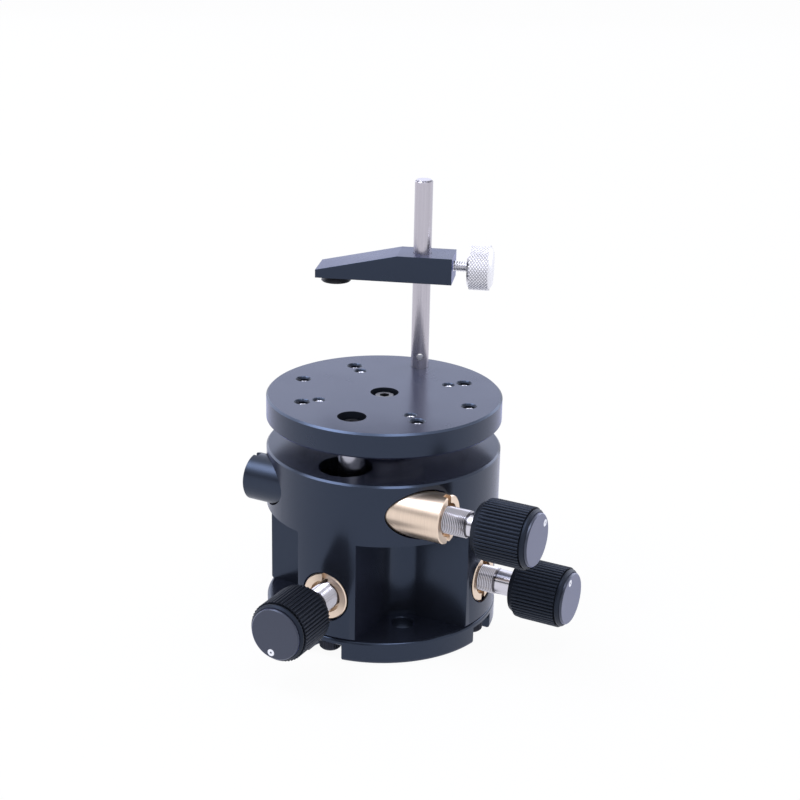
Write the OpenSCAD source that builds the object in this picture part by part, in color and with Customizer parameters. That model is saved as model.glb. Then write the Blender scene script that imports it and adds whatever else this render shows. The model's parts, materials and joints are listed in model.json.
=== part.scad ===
// Prism mount: a round tip, tilt and yaw stage. A lever hangs in a gimbal inside the housing,
// two fine screws push its foot against sprung plungers, a third turns the platform,
// and a clamp arm on a post holds the prism down.
// Millimetres, +Z up, origin at the centre of the base plate's underside.
// +X points to the side and yaw adjusters, -Y to the front adjuster.

/* [Base plate] */
// Diameter of the housing and of the base plate under it
body_d = 64; // [60:0.5:72]
// Thickness of the base plate
base_h = 6.2; // [5.6:0.1:9]
// Width of the rim notches under the pillars
notch_w = 10; // [8:0.5:12]
// Thickness of the plate left above a notch
notch_roof = 1.7; // [1.2:0.1:2.4]
// Pitch circle of the mounting holes
mount_pcd = 41; // [39:0.5:45]
// Diameter of the mounting holes
mount_hole_d = 6.4; // [4.5:0.1:7]
// Distance of the pillar screws from the rim
pillar_screw_inset = 3.5; // [3.2:0.1:5]

/* [Housing] */
// Height of the housing above the base plate
housing_h = 45; // [42:0.5:56]
// Height of the four side pockets
pocket_h = 28; // [24:0.5:28.5]
// Width of the four pillars between the pockets
pillar_w = 17.5; // [16:0.5:20]
// Radius of a pocket's inner corner
pocket_r = 7; // [3:0.5:9]
// Bevel on the rims of the housing, the base plate and the platform
rim_bevel = 0.5; // [0.2:0.1:1]
// Bevel on the small turned pieces
edge_bevel = 0.25; // [0.1:0.05:0.4]
// Diameter of the well round the lever
well_d = 20; // [19:0.5:22]
// Depth of the pivot axes below the housing's top
pivot_drop = 8.4; // [8:0.1:10]
// Height of the tilt adjusters above the base plate
tilt_rise = 11.6; // [11:0.1:14]
// Distance of the yaw adjuster's axis from the housing's rim
yaw_inset = 11; // [10:0.1:11.2]
// Diameter of the hole in the housing's top round the yaw pin
window_d = 14.5; // [13:0.1:15]
// Least wall between that hole and the gimbal's seat
window_skin = 0.5; // [0.3:0.1:0.7]
// Distance from the well to the tilt bushes and their spring tubes
well_wall = 1; // [0.5:0.1:2]
// Distance from the window's edge to the yaw bush and its spring tube
window_wall = 0.8; // [0.4:0.1:1.5]
// Length of the close part of the yaw bores
yaw_grip = 5; // [4:0.1:7]
// Step at the inner end of the yaw bores
yaw_step = 0.2; // [0.1:0.05:0.4]
// Depth of the wide mouth round the tilt bushes and their spring tubes
mouth_depth = 3; // [1:0.1:6]

/* [Lever and gimbal] */
// Diameter of the lever's neck inside the gimbal ring
neck_d = 12; // [10:0.5:12.5]
// Room for the neck to swing inside the gimbal ring
neck_room = 1.2; // [0.8:0.1:1.6]
// Wall of the gimbal ring
gimbal_wall = 3; // [2.5:0.1:3.4]
// Height of the gimbal ring
gimbal_h = 8; // [6:0.5:9]
// Room for the gimbal ring to swing inside its seat
gimbal_room = 0.5; // [0.4:0.05:0.7]
// Wall of the seat that carries the gimbal
seat_wall = 2.3; // [2:0.1:2.6]
// Height of the seat
seat_h = 10; // [8:0.5:11]
// Diameter of the pivot pins
pivot_d = 3; // [2:0.1:3.4]
// Diameter of the lever below the gimbal
lever_d = 10; // [8:0.5:10.4]
// Width across the flats of the lever's foot
foot_w = 10.4; // [9:0.2:10.6]
// Height of the lever's foot
foot_h = 11.6; // [9:0.2:12]
// Corner cut of the lever's foot
foot_cut = 2; // [1:0.1:2.2]
// Diameter of the hardened pads in the foot
pad_d = 5; // [4:0.1:5.4]
// Thickness of the hardened pads
pad_h = 1.2; // [0.8:0.1:1.6]
// Diameter of the flange under the platform
flange_d = 22; // [18:0.5:26]
// Thickness of the flange under the platform
flange_h = 4.9; // [4:0.1:5.4]
// Diameter of the journal that the platform turns on
journal_d = 12; // [10:0.5:14]
// Height of the journal above the thrust washer
journal_h = 2.5; // [2:0.1:2.6]
// Thickness of the thrust washer
washer_h = 0.8; // [0.5:0.1:1.2]

/* [Platform] */
// Diameter of the platform
platform_d = 64; // [60:0.5:72]
// Thickness of the platform
platform_h = 6.9; // [6.8:0.1:9]
// Gap between the housing and the platform
platform_gap = 7.5; // [7.2:0.1:9]
// Yaw of the platform in the setting shown
yaw_shown = 4.5; // [-4.5:0.5:4.5]
// Diameter of the yaw pin
yaw_pin_d = 7.2; // [6:0.1:7.6]
// Reach of the yaw pin below the pivot axes
yaw_pin_reach = 2.9; // [2.5:0.1:3.2]
// Diameter of the counterbores for the two cap screws
counterbore_d = 7.7; // [6.5:0.1:8]
// Depth of the centre counterbore
centre_depth = 3.2; // [3.1:0.1:3.4]
// Depth of the counterbore above the yaw pin
pin_depth = 4; // [3.5:0.1:5.4]
// Pitch circle of the four larger tapped holes
tap_a_pcd = 47; // [46:0.5:50]
// Tapping diameter of the larger holes
tap_a_d = 3.3; // [3:0.1:4.2]
// Step from the larger holes' pitch circle to that of the four smaller tapped holes
tap_step = 9.4; // [8.6:0.2:12]
// Tapping diameter of the smaller holes
tap_b_d = 2.5; // [2:0.1:3]
// Pitch circle of the two side holes and the post hole
tap_c_pcd = 49; // [46:0.5:52]
// Width of the countersink round a tapped hole
tap_sink = 0.55; // [0.3:0.05:0.8]

/* [Clamp] */
// Diameter of the post
post_d = 5; // [4:0.1:6]
// Height of the post above the platform
post_h = 53.8; // [45:0.1:75]
// Depth of the spot face that the post stands in
post_seat = 0.4; // [0.2:0.1:0.8]
// Length of the post's screwed end
post_end_h = 6; // [4:0.5:6.5]
// Height of the cross hole in the post
post_hole_z = 3.5; // [2.5:0.1:8]
// Diameter of the cross hole in the post
post_hole_d = 2; // [1.2:0.1:2.6]
// Direction of the cross hole, counted from the clamp arm's
post_hole_turn = -82; // [-180:1:180]
// Direction that the clamp arm's block points in, seen from above
arm_turn = 19.7; // [-60:0.1:60]
// Height of the arm's underside above the platform
arm_z = 25.8; // [8:0.1:40]
// Width of the arm
arm_w = 11; // [9:0.5:14]
// Height of the arm at its block
arm_h = 7.4; // [6:0.1:10]
// Length of the arm from the post to its tip
arm_reach = 29.2; // [24:0.2:40]
// Length of the block from the post to its back
arm_back = 8.9; // [7:0.1:12]
// Length of the level top from the post to the slope
arm_level = 6.4; // [5:0.1:10]
// Thickness of the arm's tip
arm_tip_h = 2.3; // [1.5:0.1:4]
// Distance of the clamp foot from the tip
foot_inset = 5; // [4.5:0.1:8]
// Diameter of the clamp foot
clamp_foot_d = 8.4; // [6:0.1:9]
// Height of the clamp foot
clamp_foot_h = 2; // [1.5:0.1:4]
// Flare of the clamp foot's side
foot_flare = 1; // [0.4:0.1:1.4]
// Diameter of the peg that holds the clamp foot in the arm
peg_d = 2.8; // [2:0.1:3.2]
// Diameter of the thumb screw's head
thumb_d = 12.5; // [9:0.5:14]
// Length of the thumb screw's head
thumb_l = 6.8; // [5:0.1:9]
// Gap between the arm's back and the thumb screw's head
thumb_gap = 4; // [2:0.1:6]
// Height of the thumb screw's axis above the middle of the block
thumb_rise = 0.4; // [-0.8:0.1:0.8]
// Diameter of the thumb screw's thread
thumb_thread_d = 3; // [2.5:0.1:4]

/* [Adjusters] */
// Diameter of the brass bushes
bush_d = 13; // [11:0.1:13.4]
// Depth of the recess in a bush's end
bush_recess = 3; // [1:0.1:4]
// Width of a bush's end ring
bush_ring = 2; // [1:0.1:2.3]
// Width of the spanner slot across a bush or a spring tube
slot_w = 1.8; // [1:0.1:2.4]
// Depth of the spanner slot
slot_depth = 1.5; // [0.8:0.1:2]
// Reach of the yaw bush past the housing's wall, on its axis
yaw_bush_stand = 6.5; // [5:0.1:9]
// Inset of the tilt bushes and their spring tubes from the housing's rim
tilt_inset = 0.4; // [0.2:0.1:1]
// Diameter of the adjuster screws
screw_d = 7.3; // [6:0.1:8]
// Diameter of an adjuster screw's shank inside the knob
shank_d = 6.8; // [5.5:0.1:7]
// Width of the groove at the end of the thread
groove_w = 0.5; // [0.3:0.1:1]
// Depth of the groove at the end of the thread, below the shank
groove_depth = 0.2; // [0.1:0.05:0.5]
// Visible length of the yaw screw between its bush and its knob
yaw_screw_out = 9.1; // [5:0.1:12]
// Visible length of the side screw between its bush and its knob
side_screw_out = 10.1; // [5:0.1:12]
// Visible length of the front screw between its bush and its knob
front_screw_out = 9.4; // [5:0.1:12]
// Plain length of the yaw screw before its knob
yaw_shank_out = 2.7; // [1:0.1:4]
// Plain length of the side screw before its knob
side_shank_out = 5.4; // [1:0.1:6]
// Plain length of the front screw before its knob
front_shank_out = 3.8; // [1:0.1:5]
// Distance from the end of the shank to the knob's cap
shank_short = 2; // [0.5:0.1:4]
// Diameter of the swivel tips in the ends of the adjuster screws
tip_d = 3.6; // [2.5:0.1:4]
// Length of the swivel tips
tip_l = 9; // [6:0.5:12]
// Length of a swivel tip that stands out of its screw
tip_out = 2.2; // [2.1:0.1:3]

/* [Knobs] */
// Diameter of the knobs over their ridges
knob_d = 16.4; // [14:0.1:18]
// Length of a knob without its cap
knob_l = 15; // [12:0.1:20]
// Depth of the grooves between the ridges
ridge_depth = 0.45; // [0.2:0.05:0.8]
// Count of ridges round a knob
ridge_count = 51; // [24:1:56]
// Width of a ridge at its top
ridge_top_w = 0.42; // [0.2:0.02:0.6]
// Width of a ridge at its foot
ridge_foot_w = 0.7; // [0.6:0.02:0.8]
// Length of the taper at the inner end of a knob
taper_l = 2; // [1:0.1:3.5]
// Depth of the taper at the inner end of a knob
taper_w = 1; // [0.2:0.1:2]
// Length of the smooth collar at the outer end of a knob
collar_l = 1.3; // [1:0.1:3.5]
// Diameter of a knob's cap
cap_d = 14; // [9:0.1:14.4]
// Thickness of a knob's cap
cap_h = 1.4; // [0.8:0.1:2.4]
// Height of the cap above the knob
cap_out = 0.7; // [0.3:0.1:0.8]

/* [Spring plungers] */
// Diameter of the spring tubes
tube_d = 12.8; // [11:0.1:13.2]
// Bore of the spring tubes
tube_bore = 8.8; // [7:0.1:9.4]
// Thickness of a spring tube's closed end
tube_end = 4; // [3.5:0.1:6]
// Reach of the yaw spring tube past the housing's wall, on its axis
yaw_tube_stand = 4.2; // [3:0.1:6]
// Diameter of a plunger's nose
nose_d = 5; // [3:0.1:6]
// Length of a plunger's nose
nose_l = 4; // [3.6:0.1:6]
// Length of a plunger's guided head
plunger_l = 5; // [4.5:0.1:6]
// Diameter of the spring wire
wire_d = 0.9; // [0.5:0.05:1.2]
// Count of turns of a spring
spring_turns = 6; // [4:1:8]
// Room between a spring and its tube
spring_room = 0.4; // [0.2:0.05:0.6]

/* [Screws] */
// Diameter of the cap screws' threads
cap_screw_d = 3; // [2.5:0.1:3.5]
// Diameter of the cap screws' heads
cap_head_d = 5.5; // [4.5:0.1:6.2]
// Height of the pillar screws' heads
cap_head_h = 3; // [2.4:0.1:3]
// Height of the platform screws' low heads
low_head_h = 2.4; // [2:0.1:3]
// Width across the flats of the cap screws' sockets
socket_w = 2.5; // [2:0.1:3]
// Depth of the cap screws' sockets
socket_depth = 1.4; // [1:0.1:1.6]
// Bevel on the cap screws' heads
head_bevel = 0.3; // [0.1:0.1:0.5]
// Length of the pillar screws' threads
pillar_thread = 5.8; // [5:0.1:6.2]
// Length of the platform screws' threads
platform_thread = 9; // [7:0.5:10]

/* [Fits] */
// Radial clearance of a turning or sliding fit
run_fit = 0.05; // [0.02:0.01:0.08]
// Radial clearance of a seated or screwed fit
seat_fit = 0.02; // [0.01:0.01:0.04]
// Radial clearance round the mouth of a bush's or tube's bore
mouth_fit = 0.45; // [0.2:0.05:0.6]
// Gap between a tip or plunger and the face it pushes
touch_gap = 0.3; // [0.25:0.05:0.4]
// Gap between two faces that turn on each other
face_gap = 0.02; // [0.01:0.01:0.05]

/* [Hidden] */
$fn = 72;

// How far a cutting shape runs past the face it cuts
over = 1;
body_r = body_d / 2;
pillar_turns = [0, 90, 180, 270];
diagonal_turns = [45, 135, 225, 315];
pillar_screw_r = body_r - pillar_screw_inset;

// Heights
housing_top = base_h + housing_h;
pivot_z = housing_top - pivot_drop;
tilt_z = base_h + tilt_rise;
platform_z = housing_top + platform_gap;
platform_top = platform_z + platform_h;
flange_top = platform_z - face_gap - washer_h;
journal_top = flange_top + washer_h + journal_h;
journal_bore_h = journal_top + face_gap - platform_z;
centre_floor = platform_top - centre_depth;
pin_floor = platform_top - pin_depth;
seat_floor = pivot_z - seat_h / 2;
pillar_screw_top = base_h - notch_roof + pillar_thread;

// Gimbal, from the lever's neck outwards
gimbal_bore = neck_d + 2 * neck_room;
gimbal_d = gimbal_bore + 2 * gimbal_wall;
seat_bore = gimbal_d + 2 * gimbal_room;
seat_d = seat_bore + 2 * seat_wall;

// Radius of the circle that the yaw pin moves on, clear of the seat
yaw_arm = max(body_r - yaw_inset, (seat_d + window_d) / 2 + window_skin);

// Distances along the adjusters' axes
chord_wall = sqrt(body_r * body_r - yaw_arm * yaw_arm);
pin_shift = yaw_arm * sin(yaw_shown);
yaw_nose = pin_shift + yaw_pin_d / 2 + touch_gap;
yaw_back_nose = yaw_pin_d / 2 - pin_shift + touch_gap;
tilt_nose = foot_w / 2 + touch_gap;
chord_inner = window_d / 2 + window_wall;
chord_mouth = chord_inner + yaw_grip;
tilt_inner = well_d / 2 + well_wall;
tilt_outer = body_r - tilt_inset;
tilt_mouth = tilt_outer - mouth_depth;
yaw_bush_end = chord_wall + yaw_bush_stand;
yaw_tube_end = chord_wall + yaw_tube_stand;
groove_d = shank_d - 2 * groove_depth;

// Pitch circle of the smaller tapped holes
tap_b_pcd = tap_a_pcd - tap_step;

// Knobs, from the valleys between the ridges inwards
valley_r = knob_d / 2 - ridge_depth;
cap_r = min(cap_d / 2, valley_r - 2 * edge_bevel);
cap_rim_r = cap_r + edge_bevel;

// Spring coil
coil_r = tube_bore / 2 - spring_room - wire_d / 2;
coil_rings = 8;
coil_sides = 6;

anodised = [0.11, 0.12, 0.15];
brass = [0.80, 0.62, 0.42];
steel = [0.72, 0.71, 0.74];
bright = [0.88, 0.88, 0.90];
dark_steel = [0.16, 0.16, 0.18];
knob_black = [0.09, 0.10, 0.12];
washer_white = [0.86, 0.85, 0.80];

// Copies of a shape at several turns about the vertical axis
module around(turns) {
    for (turn = turns)
        rotate(turn)
            children();
}

// Lays a shape that stands on +Z along a level axis that points to a heading;
// the shape's -X side then faces up
module aim(heading, y, z) {
    translate([0, y, z])
        rotate([0, 0, heading])
            rotate([0, 90, 0])
                children();
}

module aim_yaw() {
    aim(0, -yaw_arm, pivot_z)
        children();
}

module aim_yaw_back() {
    aim(180, -yaw_arm, pivot_z)
        children();
}

module aim_tilt(heading) {
    aim(heading, 0, tilt_z)
        children();
}

// Puts a shape in the platform's own turned frame
module on_platform() {
    rotate(yaw_shown)
        children();
}

// Upright rod between two heights
module rod(d, low, high) {
    translate([0, 0, low])
        cylinder(d = d, h = high - low);
}

// Disc with bevelled edges
module bevelled_disc(d, low, high, bevel) {
    r = d / 2;
    rotate_extrude()
        polygon([[0, low], [r - bevel, low], [r, low + bevel],
            [r, high - bevel], [r - bevel, high], [0, high]]);
}

// Cap screw with its head's underside at z = 0 and its thread below
module cap_screw(thread_l, head_h) {
    difference() {
        union() {
            bevelled_disc(cap_head_d, 0, head_h, head_bevel);
            rod(cap_screw_d, -thread_l, head_h - socket_depth);
        }
        translate([0, 0, head_h - socket_depth])
            cylinder(d = socket_w / cos(30), h = socket_depth + over, $fn = 6);
    }
}

module base_plate() {
    notch_h = base_h - notch_roof;
    color(anodised)
        difference() {
            bevelled_disc(body_d, 0, base_h, rim_bevel);
            around(pillar_turns)
                translate([pillar_screw_r, 0, 0]) {
                    rod(notch_w, -over, notch_h);
                    translate([0, -notch_w / 2, -over])
                        cube([notch_w, notch_w, notch_h + over]);
                    rod(cap_screw_d + 2 * run_fit, -over, base_h + over);
                }
            around(diagonal_turns)
                translate([mount_pcd / 2, 0, 0])
                    rod(mount_hole_d, -over, base_h + over);
        }
}

// One side pocket: a corner between two pillars, rounded inside
module pocket() {
    near = pillar_w / 2;
    translate([near + pocket_r, near, base_h - over])
        cube([body_r, body_r, pocket_h + over]);
    translate([near, near + pocket_r, base_h - over])
        cube([body_r, body_r, pocket_h + over]);
    translate([near + pocket_r, near + pocket_r, base_h - over])
        cylinder(r = pocket_r, h = pocket_h + over);
}

// Bore for a bush or spring tube: a close grip inside and a wider mouth outside
module stepped_bore(d, from, mouth) {
    rod(d + 2 * seat_fit, from, body_r + over);
    rod(d + 2 * mouth_fit, mouth, body_r + over);
}

module housing() {
    color(anodised)
        difference() {
            bevelled_disc(body_d, base_h, housing_top, rim_bevel);
            around(pillar_turns)
                pocket();
            rod(well_d, base_h - over, seat_floor + over);
            rod(seat_d + 2 * seat_fit, seat_floor, housing_top + over);
            translate([0, -yaw_arm, 0])
                rod(window_d, pivot_z, housing_top + over);
            aim_yaw()
                rod(tube_d - 2 * yaw_step, -chord_inner, chord_inner);
            aim_yaw()
                stepped_bore(bush_d, chord_inner, chord_mouth);
            aim_yaw_back()
                stepped_bore(tube_d, chord_inner, chord_mouth);
            for (heading = [0, -90])
                aim_tilt(heading)
                    stepped_bore(bush_d, 0, tilt_mouth);
            for (heading = [180, 90])
                aim_tilt(heading)
                    stepped_bore(tube_d, 0, tilt_mouth);
            around(pillar_turns)
                translate([pillar_screw_r, 0, 0])
                    rod(cap_screw_d + 2 * seat_fit, base_h - over, pillar_screw_top + seat_fit);
        }
}

module base_screws() {
    color(dark_steel)
        around(pillar_turns)
            translate([pillar_screw_r, 0, base_h - notch_roof])
                rotate([180, 0, 0])
                    cap_screw(pillar_thread, cap_head_h);
}

module gimbal_seat() {
    color(steel)
        difference() {
            rod(seat_d, seat_floor, seat_floor + seat_h);
            rod(seat_bore, seat_floor - over, seat_floor + seat_h + over);
            aim(90, 0, pivot_z)
                rod(pivot_d + 2 * seat_fit, -seat_d, seat_d);
        }
}

module seat_pins() {
    color(bright)
        for (heading = [90, -90])
            aim(heading, 0, pivot_z)
                rod(pivot_d, gimbal_bore / 2 + seat_fit, seat_d / 2 - seat_fit);
}

module gimbal_ring() {
    color(brass)
        difference() {
            rod(gimbal_d, pivot_z - gimbal_h / 2, pivot_z + gimbal_h / 2);
            rod(gimbal_bore, pivot_z - gimbal_h, pivot_z + gimbal_h);
            aim(90, 0, pivot_z)
                rod(pivot_d + 2 * run_fit, -gimbal_d, gimbal_d);
            aim(0, 0, pivot_z)
                rod(pivot_d + 2 * seat_fit, -gimbal_d, gimbal_d);
        }
}

module lever_pin() {
    color(bright)
        aim(0, 0, pivot_z)
            rod(pivot_d, seat_fit - gimbal_d / 2, gimbal_d / 2 - seat_fit);
}

// Square foot of the lever with cut corners
module lever_foot() {
    half = foot_w / 2;
    translate([0, 0, tilt_z - foot_h / 2])
        linear_extrude(foot_h)
            polygon([for (turn = pillar_turns)
                for (side = [-1, 1])
                    [half * cos(turn) - side * (half - foot_cut) * sin(turn),
                        half * sin(turn) + side * (half - foot_cut) * cos(turn)]]);
}

module lever() {
    color(steel)
        difference() {
            union() {
                rod(journal_d, flange_top, journal_top);
                rod(flange_d, flange_top - flange_h, flange_top);
                rod(neck_d, pivot_z - gimbal_h, flange_top);
                rod(lever_d, tilt_z, pivot_z);
                lever_foot();
            }
            rod(cap_screw_d + 2 * seat_fit, centre_floor - platform_thread - over, journal_top + over);
            aim(0, 0, pivot_z)
                rod(pivot_d + 2 * run_fit, -neck_d, neck_d);
            for (heading = [0, -90])
                aim_tilt(heading)
                    rod(pad_d + 2 * seat_fit, foot_w / 2 - pad_h, foot_w);
        }
}

module foot_pads() {
    color(bright)
        for (heading = [0, -90])
            aim_tilt(heading)
                rod(pad_d, foot_w / 2 - pad_h, foot_w / 2);
}

module thrust_washer() {
    color(washer_white)
        difference() {
            rod(flange_d, flange_top, flange_top + washer_h);
            rod(journal_d + 2 * seat_fit, flange_top - over, flange_top + washer_h + over);
        }
}

module centre_screw() {
    color(dark_steel)
        translate([0, 0, centre_floor + face_gap])
            cap_screw(platform_thread, low_head_h);
}

// Tapped hole through the platform with a countersink at its top
module tapped_hole(d) {
    rod(d, platform_z - over, platform_top + over);
    translate([0, 0, platform_top - tap_sink])
        cylinder(d1 = d, d2 = d + 2 * tap_sink, h = tap_sink);
}

module platform() {
    color(anodised)
        on_platform()
            difference() {
                bevelled_disc(platform_d, platform_z, platform_top, rim_bevel);
                rod(journal_d + 2 * run_fit, platform_z - over, platform_z + journal_bore_h);
                rod(cap_screw_d + 2 * run_fit, platform_z, platform_top);
                rod(counterbore_d, centre_floor, platform_top + over);
                translate([0, -yaw_arm, 0]) {
                    rod(cap_screw_d + 2 * seat_fit, platform_z - over, platform_top);
                    rod(counterbore_d, pin_floor, platform_top + over);
                }
                around(diagonal_turns) {
                    translate([tap_a_pcd / 2, 0, 0])
                        tapped_hole(tap_a_d);
                    translate([tap_b_pcd / 2, 0, 0])
                        tapped_hole(tap_b_d);
                }
                around([0, 90, 180])
                    translate([tap_c_pcd / 2, 0, 0])
                        tapped_hole(tap_a_d);
                translate([0, tap_c_pcd / 2, 0])
                    rod(post_d + 2 * run_fit, platform_top - post_seat, platform_top + over);
            }
}

module yaw_pin() {
    low = pivot_z - yaw_pin_reach;
    color(bright)
        on_platform()
            translate([0, -yaw_arm, 0])
                difference() {
                    bevelled_disc(yaw_pin_d, low, platform_z, rim_bevel);
                    rod(cap_screw_d + 2 * seat_fit, pin_floor - platform_thread - over, platform_z + over);
                }
}

module yaw_pin_screw() {
    color(dark_steel)
        on_platform()
            translate([0, -yaw_arm, pin_floor])
                cap_screw(platform_thread, low_head_h);
}

// Puts a shape in the post's frame: the post's axis is Z, the platform's top is z = 0
module on_post() {
    on_platform()
        translate([0, tap_c_pcd / 2, platform_top])
            rotate(arm_turn - yaw_shown)
                children();
}

module post() {
    color(steel)
        on_post()
            difference() {
                union() {
                    rod(post_d, -post_seat, over);
                    bevelled_disc(post_d, 0, post_h, rim_bevel);
                    rod(tap_a_d - 2 * run_fit, -post_end_h, over);
                }
                aim(post_hole_turn, 0, post_hole_z)
                    rod(post_hole_d, -post_d, post_d);
            }
}

module clamp_arm() {
    color(anodised)
        on_post()
            translate([0, 0, arm_z])
                difference() {
                    rotate([90, 0, 0])
                        linear_extrude(arm_w, center = true)
                            polygon([[-arm_reach, 0], [arm_back, 0], [arm_back, arm_h],
                                [-arm_level, arm_h], [-arm_reach, arm_tip_h]]);
                    rod(post_d + 2 * run_fit, -over, arm_h + over);
                    aim(0, 0, arm_h / 2 + thumb_rise)
                        rod(thumb_thread_d + 2 * run_fit, 0, arm_back + over);
                    translate([foot_inset - arm_reach, 0, 0])
                        rod(peg_d + 2 * seat_fit, -over, arm_tip_h);
                }
}

// Disc foot with a flared side and a peg that is pressed into the arm
module clamp_foot() {
    r = clamp_foot_d / 2;
    peg_top = arm_tip_h - seat_fit;
    color(knob_black)
        on_post()
            translate([foot_inset - arm_reach, 0, arm_z])
                rotate_extrude()
                    polygon([[0, -clamp_foot_h], [r - edge_bevel, -clamp_foot_h],
                        [r, edge_bevel - clamp_foot_h], [r - foot_flare, 0],
                        [peg_d / 2, 0], [peg_d / 2, peg_top], [0, peg_top]]);
}

module thumb_screw() {
    head = arm_back + thumb_gap;
    color(bright)
        on_post()
            aim(0, 0, arm_z + arm_h / 2 + thumb_rise) {
                bevelled_disc(thumb_d, head, head + thumb_l, rim_bevel);
                rod(thumb_thread_d, post_d / 2 + touch_gap, head + over);
            }
}

// Bush along +Z between two distances, with a recessed and slotted outer end
module bush(inner, outer) {
    color(brass)
        difference() {
            bevelled_disc(bush_d, inner, outer, edge_bevel);
            rod(screw_d + 2 * run_fit, inner - over, outer + over);
            rod(bush_d - 2 * bush_ring, outer - bush_recess, outer + over);
            translate([-bush_d, -slot_w / 2, outer - slot_depth])
                cube([2 * bush_d, slot_w, slot_depth + over]);
        }
}

// Adjuster screw along +Z: bored end for the swivel tip, thread, groove, and shank into the knob
module adjuster_screw(nose, knob_start, shank_out) {
    inner = nose + tip_out;
    groove = knob_start - shank_out;
    shank_end = knob_start + knob_l - cap_h + cap_out - shank_short;
    color(steel)
        difference() {
            union() {
                bevelled_disc(screw_d, inner, groove - groove_w, edge_bevel);
                rod(groove_d, groove - 2 * groove_w, groove + groove_w);
                rod(shank_d, groove, shank_end);
            }
            rod(tip_d + 2 * run_fit, inner - over, nose + tip_l + face_gap);
        }
}

// Swivel tip along +Z with a round nose
module swivel_tip(nose) {
    r = tip_d / 2;
    color(bright) {
        translate([0, 0, nose + r])
            sphere(r = r);
        rod(tip_d, nose + r, nose + tip_l);
    }
}

// Outline of the ridged grip
module grip_outline() {
    top = knob_d / 2;
    half_foot = asin(ridge_foot_w / 2 / valley_r);
    half_top = asin(ridge_top_w / 2 / top);
    corners = [[-half_foot, valley_r], [-half_top, top], [half_top, top], [half_foot, valley_r]];
    polygon([for (i = [0 : ridge_count - 1])
        for (corner = corners)
            let (turn = i * 360 / ridge_count + corner[0])
                corner[1] * [cos(turn), sin(turn)]]);
}

// Knob along +Z: a ridged grip from the inner taper to the smooth collar, with a socket for the cap
module knob(start) {
    end = start + knob_l;
    color(knob_black)
        difference() {
            union() {
                translate([0, 0, start + taper_l])
                    linear_extrude(knob_l - taper_l - collar_l)
                        grip_outline();
                rotate_extrude()
                    polygon([[0, start], [valley_r - taper_w, start], [valley_r, start + taper_l],
                        [valley_r, end - valley_r + cap_rim_r], [cap_rim_r, end], [0, end]]);
            }
            rod(shank_d + 2 * seat_fit, start - over, end);
            rod(2 * (cap_r + seat_fit), end - cap_h + cap_out, end + over);
        }
}

// Cap that closes the knob's outer end
module knob_cap(start) {
    low = start + knob_l - cap_h + cap_out;
    color(knob_black)
        bevelled_disc(2 * cap_r, low, low + cap_h, edge_bevel);
}

// Spring tube along +Z: blind bore for the plunger and spring, slotted outer end
module spring_tube(inner, outer) {
    color(anodised)
        difference() {
            bevelled_disc(tube_d, inner, outer, edge_bevel);
            rod(tube_bore, inner - over, outer - tube_end);
            translate([-tube_d, -slot_w / 2, outer - slot_depth])
                cube([2 * tube_d, slot_w, slot_depth + over]);
        }
}

// Plunger along +Z: round nose and a head that slides in the spring tube
module plunger(nose) {
    r = nose_d / 2;
    color(bright) {
        translate([0, 0, nose + r])
            sphere(r = r);
        rod(nose_d, nose + r, nose + nose_l + over);
        rod(tube_bore - 2 * run_fit, nose + nose_l, nose + nose_l + plunger_l);
    }
}

// Centre line of a coil between two distances
function coil_points(low, high) = [for (i = [0 : spring_turns * coil_rings])
    [coil_r * cos(i * 360 / coil_rings), coil_r * sin(i * 360 / coil_rings),
        low + wire_d / 2 + (high - low - wire_d) * i / (spring_turns * coil_rings)]];

// Least gap of a coil to itself, from each point to the points of the next turn
function coil_gap(path) = min([for (i = [0 : len(path) - coil_rings - 1])
    for (j = [i + coil_rings - 2 : min(i + coil_rings + 2, len(path) - 1)])
        norm(path[j] - path[i]) - wire_d]);

// Coil spring along +Z as one unbroken tube
module coil_spring(low, high) {
    path = coil_points(low, high);
    last = len(path) - 1;
    points = [for (i = [0 : last])
        for (k = [0 : coil_sides - 1])
            let (out = [path[i][0], path[i][1], 0] / coil_r, turn = k * 360 / coil_sides)
                path[i] + wire_d / 2 * (cos(turn) * out + sin(turn) * [0, 0, 1])];
    sides = [for (i = [0 : last - 1])
        for (k = [0 : coil_sides - 1])
            let (a = i * coil_sides + k, b = i * coil_sides + (k + 1) % coil_sides)
                each [[a, b, a + coil_sides], [b, b + coil_sides, a + coil_sides]]];
    near_end = [for (k = [1 : coil_sides - 2]) [0, k + 1, k]];
    end = last * coil_sides;
    far_end = [for (k = [1 : coil_sides - 2]) [end, end + k, end + k + 1]];
    echo(spring_gap_mm = coil_gap(path));
    color(steel)
        polyhedron(points, concat(sides, near_end, far_end));
}

// Spring between a plunger's head and the closed end of its tube
module plunger_spring(nose, outer) {
    coil_spring(nose + nose_l + plunger_l + face_gap, outer - tube_end - face_gap);
}

// Yaw adjuster on a chord of the housing, and the spring tube facing it
module yaw_bush() { aim_yaw() bush(chord_inner, yaw_bush_end); }
module yaw_screw() { aim_yaw() adjuster_screw(yaw_nose, yaw_bush_end + yaw_screw_out, yaw_shank_out); }
module yaw_knob() { aim_yaw() knob(yaw_bush_end + yaw_screw_out); }
module yaw_cap() { aim_yaw() knob_cap(yaw_bush_end + yaw_screw_out); }
module yaw_tip() { aim_yaw() swivel_tip(yaw_nose); }
module yaw_tube() { aim_yaw_back() spring_tube(chord_inner, yaw_tube_end); }
module yaw_plunger() { aim_yaw_back() plunger(yaw_back_nose); }
module yaw_spring() { aim_yaw_back() plunger_spring(yaw_back_nose, yaw_tube_end); }

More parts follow.
